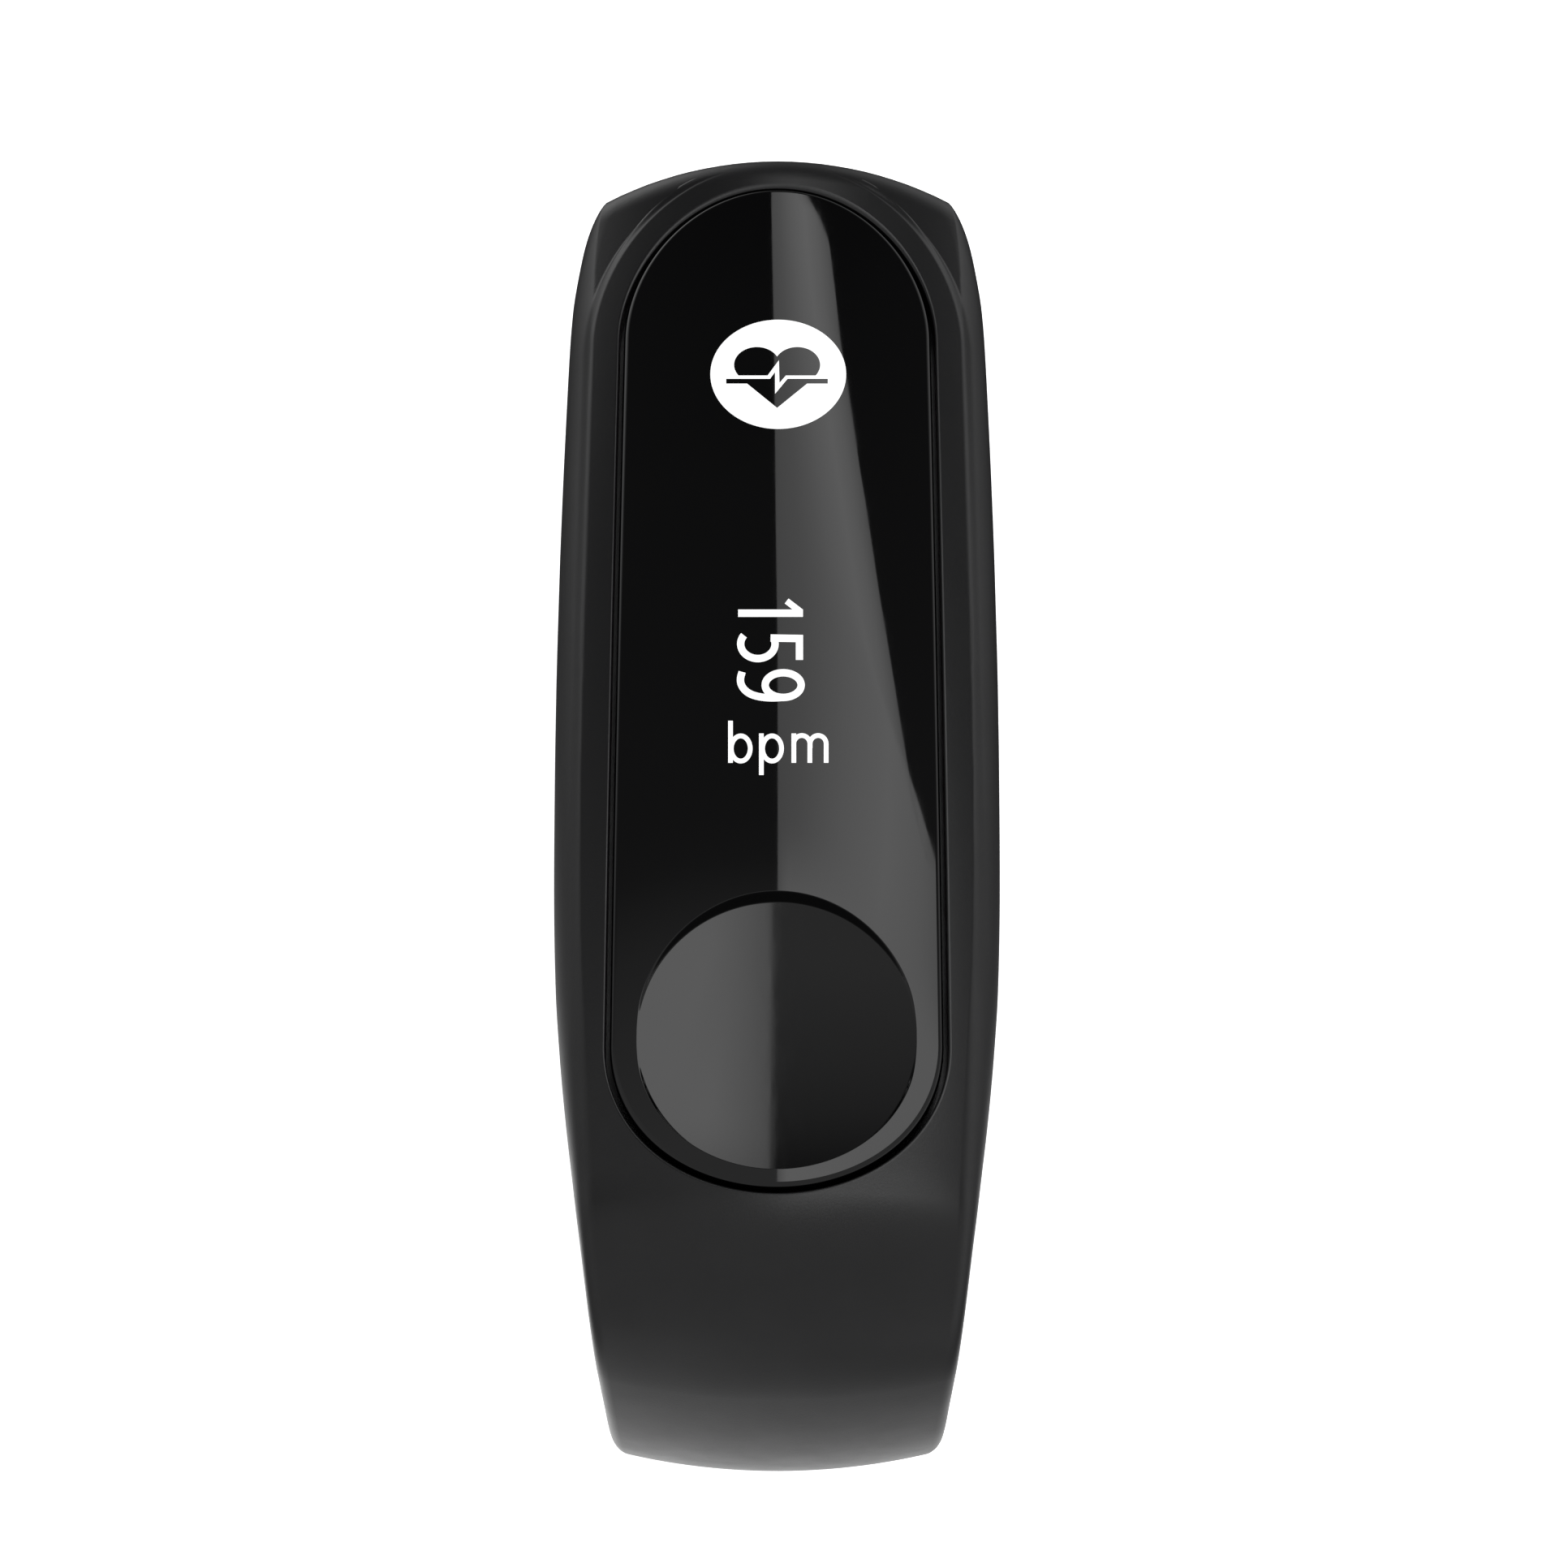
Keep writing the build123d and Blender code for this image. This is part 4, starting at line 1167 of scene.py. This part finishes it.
def surface(name, col, dark, rough, spread, grain, relief, metallic=0.0, mottle=0.25, coat=0.0, spec=0.5, stretch=None,
            sheen=0.0):
    """General finish: colour mottled towards dark, roughness varied, a fine relief."""
    m, nt, b = node_mat(name)
    big = noise(nt, mottle, 4.0, 0.6)
    small = noise(nt, grain, 3.0, 0.6, stretch=stretch)
    nt.links.new(mix_col(nt, ramp(nt, big.outputs[0], 0.35, 0.65, 0, 1), col, dark), b.inputs["Base Color"])
    mx = nt.nodes.new("ShaderNodeMath")
    mx.operation = "MULTIPLY_ADD"
    nt.links.new(small.outputs[0], mx.inputs[0])
    mx.inputs[1].default_value = 0.5
    nt.links.new(big.outputs[0], mx.inputs[2])
    nt.links.new(ramp(nt, mx.outputs[0], 0.45, 1.05, rough - spread, rough + spread), b.inputs["Roughness"])
    b.inputs["Metallic"].default_value = metallic
    b.inputs["Specular IOR Level"].default_value = spec
    b.inputs["Coat Weight"].default_value = coat
    if sheen:
        b.inputs["Sheen Weight"].default_value = sheen
        b.inputs["Sheen Roughness"].default_value = 0.4
    bump(nt, b, small.outputs[0], relief)
    return m


rubber = surface("strap_rubber", (0.0085, 0.0085, 0.0092), (0.0065, 0.0065, 0.0071), 0.31, 0.035, 9.0, 0.0035, mottle=0.35, spec=0.5)


def gloss(name, col, rough):
    m, nt, b = node_mat(name)
    big = noise(nt, 0.12, 4.0, 0.6)
    wipe = noise(nt, 0.9, 2.0, 0.5, stretch=(3.0, 0.6, 1.0))
    nt.links.new(mix_col(nt, ramp(nt, big.outputs[0], 0.3, 0.7, 0, 1), col, tuple(c * 1.3 + 0.0002 for c in col)),
                 b.inputs["Base Color"])
    nt.links.new(ramp(nt, wipe.outputs[0], 0.35, 0.75, rough, rough + 0.022), b.inputs["Roughness"])
    b.inputs["Specular IOR Level"].default_value = 0.5
    b.inputs["IOR"].default_value = 1.5
    fine_n = noise(nt, 0.35, 1.0, 0.4)
    bump(nt, b, fine_n.outputs[0], 0.0006)
    return m


lens_mat = gloss("lens_gloss", (0.0004, 0.0004, 0.0006), 0.028)


def lit(name, strength):
    m, nt, b = node_mat(name)
    b.inputs["Base Color"].default_value = (0.02, 0.02, 0.02, 1)
    n = noise(nt, 1.2, 2.0, 0.5)
    nt.links.new(ramp(nt, n.outputs[0], 0.3, 0.7, 0.03, 0.06), b.inputs["Roughness"])
    b.inputs["Emission Color"].default_value = (1.0, 1.0, 1.0, 1)
    b.inputs["Emission Strength"].default_value = strength
    return m


white_lit = lit("display_light", 1.15)

steel = surface("clasp_steel", (0.52, 0.52, 0.54), (0.44, 0.44, 0.46), 0.30, 0.07, 5.0, 0.003, metallic=1.0, mottle=0.5,
                stretch=(8.0, 0.5, 1.0))
gasket = surface("gasket_black", (0.022, 0.022, 0.022), (0.016, 0.016, 0.016), 0.75, 0.08, 7.0, 0.006)
film = gloss("clear_film", (0.03, 0.03, 0.04), 0.06)
glass = gloss("display_glass", (0.006, 0.006, 0.01), 0.05)
foam = surface("grey_foam", (0.05, 0.05, 0.052), (0.03, 0.03, 0.032), 0.92, 0.04, 6.0, 0.03)
flex = surface("flex_amber", (0.42, 0.19, 0.035), (0.35, 0.15, 0.03), 0.35, 0.07, 3.0, 0.004)
plastic = surface("shell_plastic", (0.019, 0.019, 0.021), (0.014, 0.014, 0.016), 0.42, 0.06, 8.0, 0.006, spec=0.5)
board = surface("board_green", (0.012, 0.11, 0.035), (0.01, 0.085, 0.03), 0.38, 0.08, 4.0, 0.006)
chip = surface("chip_black", (0.025, 0.025, 0.026), (0.018, 0.018, 0.019), 0.55, 0.08, 8.0, 0.005)
brass = surface("antenna_metal", (0.72, 0.55, 0.29), (0.6, 0.45, 0.22), 0.34, 0.08, 5.0, 0.003, metallic=1.0)
wrap = surface("battery_wrap", (0.5, 0.51, 0.53), (0.42, 0.43, 0.45), 0.38, 0.1, 1.6, 0.02, metallic=0.35)
motor = surface("motor_steel", (0.58, 0.58, 0.6), (0.5, 0.5, 0.52), 0.28, 0.08, 5.0, 0.003, metallic=1.0, stretch=(1.0, 6.0, 1.0))
led = surface("led_body", (0.78, 0.82, 0.7), (0.7, 0.74, 0.62), 0.22, 0.06, 4.0, 0.003)
window = gloss("sensor_window", (0.004, 0.004, 0.005), 0.05)
gold = surface("contact_gold", (0.83, 0.62, 0.27), (0.74, 0.54, 0.22), 0.2, 0.07, 6.0, 0.002, metallic=1.0)

NODE_MATS = {
    "clasp_stud": steel, "clasp_cap": steel, "lens_gasket": gasket, "touch_film": film, "display_panel": glass,
    "display_cushion": foam, "display_flex": flex, "mid_frame": plastic, "main_board": board,
    "processor_chip": chip, "memory_chip": chip, "accelerometer_chip": chip, "antenna_strip": brass,
    "battery_cell": wrap, "battery_pad": foam, "vibration_motor": motor, "hr_sensor_board": board,
    "hr_led_left": led, "hr_led_right": led, "hr_photodiode": glass, "hr_light_barrier": plastic,
    "hr_window": window, "shell_gasket": gasket, "bottom_shell": plastic,
    "charge_contact_left": gold, "charge_contact_right": gold,
    "strap_frame": rubber, "strap_short": rubber, "strap_tail": rubber, "lens_cover": lens_mat,
}
for nm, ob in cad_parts.items():
    mat = NODE_MATS[nm]
    ob.data.materials.clear()
    ob.data.materials.append(mat)

# ================================================================== pieces
skin_ob = frame_b.make("strap_frame_skin", rubber, mirror=True)
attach(skin_ob, "band")

mid_r = R_N - STRAP_T / 2
long_holes = [T_FLAT_N - (n * PITCH - HOLE_OFF - FLAT) * R_N / mid_r for n in (3, 2)]
rest = 4 * PITCH - HOLE_OFF - FLAT - (math.pi - A_N) * mid_r
long_holes = [neg[2][1] - rest * R_BACK / (R_BACK - STRAP_T / 2)] + long_holes
long_holes += [T_FLAT_N + FLAT + HOLE_OFF - PITCH, T_HOLE0, T_HOLE0 + PITCH]
mid_t = R_T - STRAP_T / 2
long_holes.append(T_FLAT_N + 2 * FLAT + (HOLE_OFF + 2 * PITCH - FLAT) * R_T / mid_t)
long_b = strap_piece("long", -1, T_NSEAM, T_TAILTIP, long_holes, tip=6.5)
long_ob = long_b.make("strap_long", rubber, mirror=True)
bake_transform(long_ob)

T_DISC = T_PTIP + TIP_Y          # flat runs from Y = 8 to the tip, so Y = 0 is TIP_Y before its end
short_b = strap_piece("short", 1, T_PSEAM, T_PTIP, [], disc=T_DISC, tip=6.5)
short_ob = short_b.make("strap_flap", rubber, mirror=True)
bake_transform(short_ob)
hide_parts("strap_frame")
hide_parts("strap_short")
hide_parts("strap_tail")

lens_ob = lens_mesh(lens_mat)
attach(lens_ob, "tracker")
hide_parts("lens_cover")

plate = lay("icon_plate", [], 0.012, white_lit, icon_polys())
pulse = lay("icon_line", ecg_strips(), 0.012, white_lit)
numbers = lay("rate_figures", digit_strips(), 0.012, white_lit)
letters = lay("rate_unit", letter_strips(), 0.012, white_lit)
for o in (plate, pulse, numbers, letters):
    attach(o, "tracker")

# ================================================================== stage: floor, light cards, camera
def plane(name, pts, mat):
    me = bpy.data.meshes.new(name)
    me.from_pydata(pts, [], [list(range(len(pts)))])
    me.update()
    ob = bpy.data.objects.new(name, me)
    bpy.context.scene.collection.objects.link(ob)
    me.materials.append(mat)
    return ob


fm, nt, b = node_mat("floor_white")
b.inputs["Base Color"].default_value = (0.9, 0.9, 0.9, 1)
n = noise(nt, 0.02, 2.0, 0.5)
nt.links.new(ramp(nt, n.outputs[0], 0.3, 0.7, 0.75, 0.85), b.inputs["Roughness"])
b.inputs["Specular IOR Level"].default_value = 0.1
b.inputs["Emission Color"].default_value = (1, 1, 1, 1)
b.inputs["Emission Strength"].default_value = 1.0
floor = plane("floor", [(-3, -3, 0), (3, -3, 0), (3, 3, 0), (-3, 3, 0)], fm)

H = 0.6
left = [(-0.05, 1.6), (-0.04, 1.17), (-0.02, 0.9), (-0.009, 0.66), (0.002, 0.5), (0.003, 0.29), (0.002, 0.138), (0.001, -0.13)]
right = [(0.10, 1.6), (0.135, 1.20), (0.266, 1.187), (0.328, 1.145), (0.36, 1.05), (0.381, 0.975), (0.487, 0.8), (0.602, 0.658),
         (0.731, 0.548), (0.849, 0.467), (0.93, 0.44), (1.12, 0.455), (1.17, 0.45), (1.15, 0.35), (1.10, 0.26), (0.92, 0.165),
         (0.65, 0.09), (0.35, 0.03), (0.2, -0.02), (0.15, -0.13)]


def along(pts, n):
    p = np.array(pts, float)
    d = np.concatenate([[0], np.cumsum(np.linalg.norm(np.diff(p, axis=0), axis=1))])
    s = np.linspace(0, d[-1], n)
    return np.stack([np.interp(s, d, p[:, 0]), np.interp(s, d, p[:, 1])], 1)


card_mat = bpy.data.materials.new("card_light")
card_mat.use_nodes = True
cn = card_mat.node_tree
cn.nodes.clear()
co = cn.nodes.new("ShaderNodeOutputMaterial")
ce = cn.nodes.new("ShaderNodeEmission")
ca = cn.nodes.new("ShaderNodeAttribute")
ca.attribute_name = "glow"
cn.links.new(ca.outputs["Fac"], ce.inputs["Strength"])
cn.links.new(ce.outputs[0], co.inputs[0])
NR = 160
L_, R_ = along(left, NR), along(right, NR)
fr = np.array([0, 0.008, 0.016, 0.028, 0.045, 0.07, 0.12, 0.18, 0.25, 0.32, 0.4, 0.48, 0.55, 0.62, 0.69, 0.75, 0.81, 0.87, 0.92, 0.96, 1.0])
gp = L_[:, None] + (R_ - L_)[:, None] * fr[None, :, None]
me = bpy.data.meshes.new("card")
verts = [(x * H, y * H, 0.05 + H) for x, y in gp.reshape(-1, 2)]
idx = np.arange(NR * 21).reshape(NR, 21)
me.from_pydata(verts, [], np.stack([idx[:-1, :-1], idx[:-1, 1:], idx[1:, 1:], idx[1:, :-1]], -1).reshape(-1, 4).tolist())
at = me.attributes.new("glow", "FLOAT", "POINT")
glow_a = np.interp(np.tile(fr, (NR, 1)), [0, 0.12, 0.35, 0.55, 0.75, 1.0], [1.3, 1.5, 2.1, 2.4, 2.1, 1.5])
glow_b = np.interp(gp[..., 0], [0, 0.02, 0.05, 0.5, 1.6], [1.6, 2.0, 2.5, 2.3, 2.1])
low_f = smooth((0.34 - gp[..., 1]) / 0.12)
at.data.foreach_set("value", (glow_a * (1 - low_f) + glow_b * low_f).ravel())
me.materials.append(card_mat)
card = bpy.data.objects.new("card", me)
bpy.context.scene.collection.objects.link(card)
card.visible_camera = False
# a pale wall all round, seen by the camera only, as the floor's far side is
dome_mat = bpy.data.materials.new("wall_white")
dome_mat.use_nodes = True
dn = dome_mat.node_tree
dn.nodes.clear()
do, de = dn.nodes.new("ShaderNodeOutputMaterial"), dn.nodes.new("ShaderNodeEmission")
de.inputs["Color"].default_value = (0.93, 0.935, 0.94, 1)
dn.links.new(de.outputs[0], do.inputs[0])
ring_n = 64
dv = [(2.9 * math.cos(2 * math.pi * k / ring_n), 2.9 * math.sin(2 * math.pi * k / ring_n), z) for z in (-3.0, 3.0) for k in range(ring_n)]
df = [[k, (k + 1) % ring_n, ring_n + (k + 1) % ring_n, ring_n + k] for k in range(ring_n)] + [list(range(ring_n, 2 * ring_n)), list(range(ring_n))[::-1]]
me = bpy.data.meshes.new("wall")
me.from_pydata(dv, [], df)
me.materials.append(dome_mat)
dome = bpy.data.objects.new("wall", me)
bpy.context.scene.collection.objects.link(dome)
for o in (floor, dome):
    o.visible_glossy = False
dome.visible_diffuse = False
dome.visible_shadow = False

world = bpy.data.worlds.new("studio")
bpy.context.scene.world = world
world.use_nodes = True
wn = world.node_tree
wn.nodes.clear()
wo = wn.nodes.new("ShaderNodeOutputWorld")
bg = wn.nodes.new("ShaderNodeBackground")
tc = wn.nodes.new("ShaderNodeTexCoord")
sep = wn.nodes.new("ShaderNodeSeparateXYZ")
wn.links.new(tc.outputs["Generated"], sep.inputs[0])
r1 = wn.nodes.new("ShaderNodeValToRGB")
r1.color_ramp.elements[0].position, r1.color_ramp.elements[0].color = 0.0, (1, 1, 1, 1)
r1.color_ramp.elements[1].position, r1.color_ramp.elements[1].color = 0.46, (0.04, 0.04, 0.04, 1)
for p_, c_ in ((0.15, 0.8), (0.25, 0.4), (0.35, 0.12)):
    e = r1.color_ramp.elements.new(p_)
    e.color = (c_, c_, c_, 1)
wn.links.new(sep.outputs[2], r1.inputs[0])
mr = wn.nodes.new("ShaderNodeMapRange")
mr.inputs["From Min"].default_value, mr.inputs["From Max"].default_value = -1.0, 1.0
wn.links.new(sep.outputs[1], mr.inputs["Value"])
r2 = wn.nodes.new("ShaderNodeValToRGB")
r2.color_ramp.elements[0].position, r2.color_ramp.elements[0].color = 0.55, (0.5, 0.5, 0.5, 1)
r2.color_ramp.elements[1].position, r2.color_ramp.elements[1].color = 0.875, (0.05, 0.05, 0.05, 1)
for p_, c_ in ((0.6, 0.38), (0.6225, 0.3), (0.65, 0.15), (0.665, 0.13), (0.725, 0.105), (0.78, 0.09), (0.835, 0.07)):
    e = r2.color_ramp.elements.new(p_)
    e.color = (c_, c_, c_, 1)
wn.links.new(mr.outputs[0], r2.inputs[0])
def wmath(op, a, b=None, c=None):
    n = wn.nodes.new("ShaderNodeMath")
    n.operation = op
    for k, v in enumerate((a, b, c)):
        if v is None:
            continue
        if isinstance(v, (int, float)):
            n.inputs[k].default_value = v
        else:
            wn.links.new(v, n.inputs[k])
    return n.outputs[0]


wx, wy, wz = sep.outputs[0], sep.outputs[1], sep.outputs[2]
right_x, left_x = wmath("MAXIMUM", wx, 0.0), wmath("MAXIMUM", wmath("MULTIPLY", wx, -1.0), 0.0)
front = wmath("MAXIMUM", wmath("MULTIPLY", wy, -1.0), 0.0)
back3 = wmath("POWER", wmath("MAXIMUM", wy, 0.0), 3.0)
around = wmath("MULTIPLY_ADD", right_x, 0.5, 0.13)
around = wmath("MULTIPLY_ADD", left_x, 0.22, around)
around = wmath("MULTIPLY_ADD", front, 0.22, around)
around = wmath("MULTIPLY_ADD", wmath("MULTIPLY", left_x, back3), 3.4, around)
around = wmath("MULTIPLY_ADD", wmath("MULTIPLY", right_x, back3), 1.0, around)
low_sky = wmath("MULTIPLY", r1.outputs[0], around)
sky = wmath("MAXIMUM", low_sky, r2.outputs[0])
r3 = wn.nodes.new("ShaderNodeValToRGB")
r3.color_ramp.elements[0].position, r3.color_ramp.elements[0].color = 0.25, (0.33, 0.33, 0.33, 1)
r3.color_ramp.elements[1].position, r3.color_ramp.elements[1].color = 0.71, (0.03, 0.03, 0.03, 1)
for p_, c_ in ((0.4, 0.42), (0.525, 0.66), (0.625, 0.95), (0.665, 0.3)):
    e = r3.color_ramp.elements.new(p_)
    e.color = (c_, c_, c_, 1)
wn.links.new(mr.outputs[0], r3.inputs[0])
ground = wmath("MULTIPLY", wmath("MULTIPLY", r3.outputs[0], 1.45), wmath("MULTIPLY_ADD", wx, -0.9, 1.0))
inside = wn.nodes.new("ShaderNodeMapRange")
inside.inputs["From Min"].default_value, inside.inputs["From Max"].default_value = 0.85, 0.45
wn.links.new(wmath("ABSOLUTE", wx), inside.inputs["Value"])
ground = wmath("MULTIPLY", ground, inside.outputs[0])
rim_low = wn.nodes.new("ShaderNodeMapRange")
rim_low.inputs["From Min"].default_value, rim_low.inputs["From Max"].default_value = -0.75, -0.15
wn.links.new(wz, rim_low.inputs["Value"])
ground = wmath("MAXIMUM", ground, wmath("MULTIPLY", rim_low.outputs[0], around))
above = wmath("GREATER_THAN", wz, 0.0)
final = wmath("ADD", wmath("MULTIPLY", sky, above), wmath("MULTIPLY", ground, wmath("SUBTRACT", 1.0, above)))
cmb = wn.nodes.new("ShaderNodeCombineColor")
for k in range(3):
    wn.links.new(final, cmb.inputs[k])
wn.links.new(cmb.outputs[0], bg.inputs[0])
bg.inputs[1].default_value = 1.0
wn.links.new(bg.outputs[0], wo.inputs[0])

cam_data = bpy.data.cameras.new("camera")
cam_data.sensor_width = 36.0
cam_data.lens = 88.3
cam_data.clip_start, cam_data.clip_end = 0.01, 20.0
cam = bpy.data.objects.new("camera", cam_data)
bpy.context.scene.collection.objects.link(cam)
cam.location = (0.34 * MM, (SHIFT - 84.5) * MM, (ZT + 164.8) * MM)
cam.rotation_euler = (math.radians(90 - 65), 0, 0)
bpy.context.scene.camera = cam
bpy.context.scene.view_settings.view_transform = "Standard"
bpy.context.scene.view_settings.look = "None"
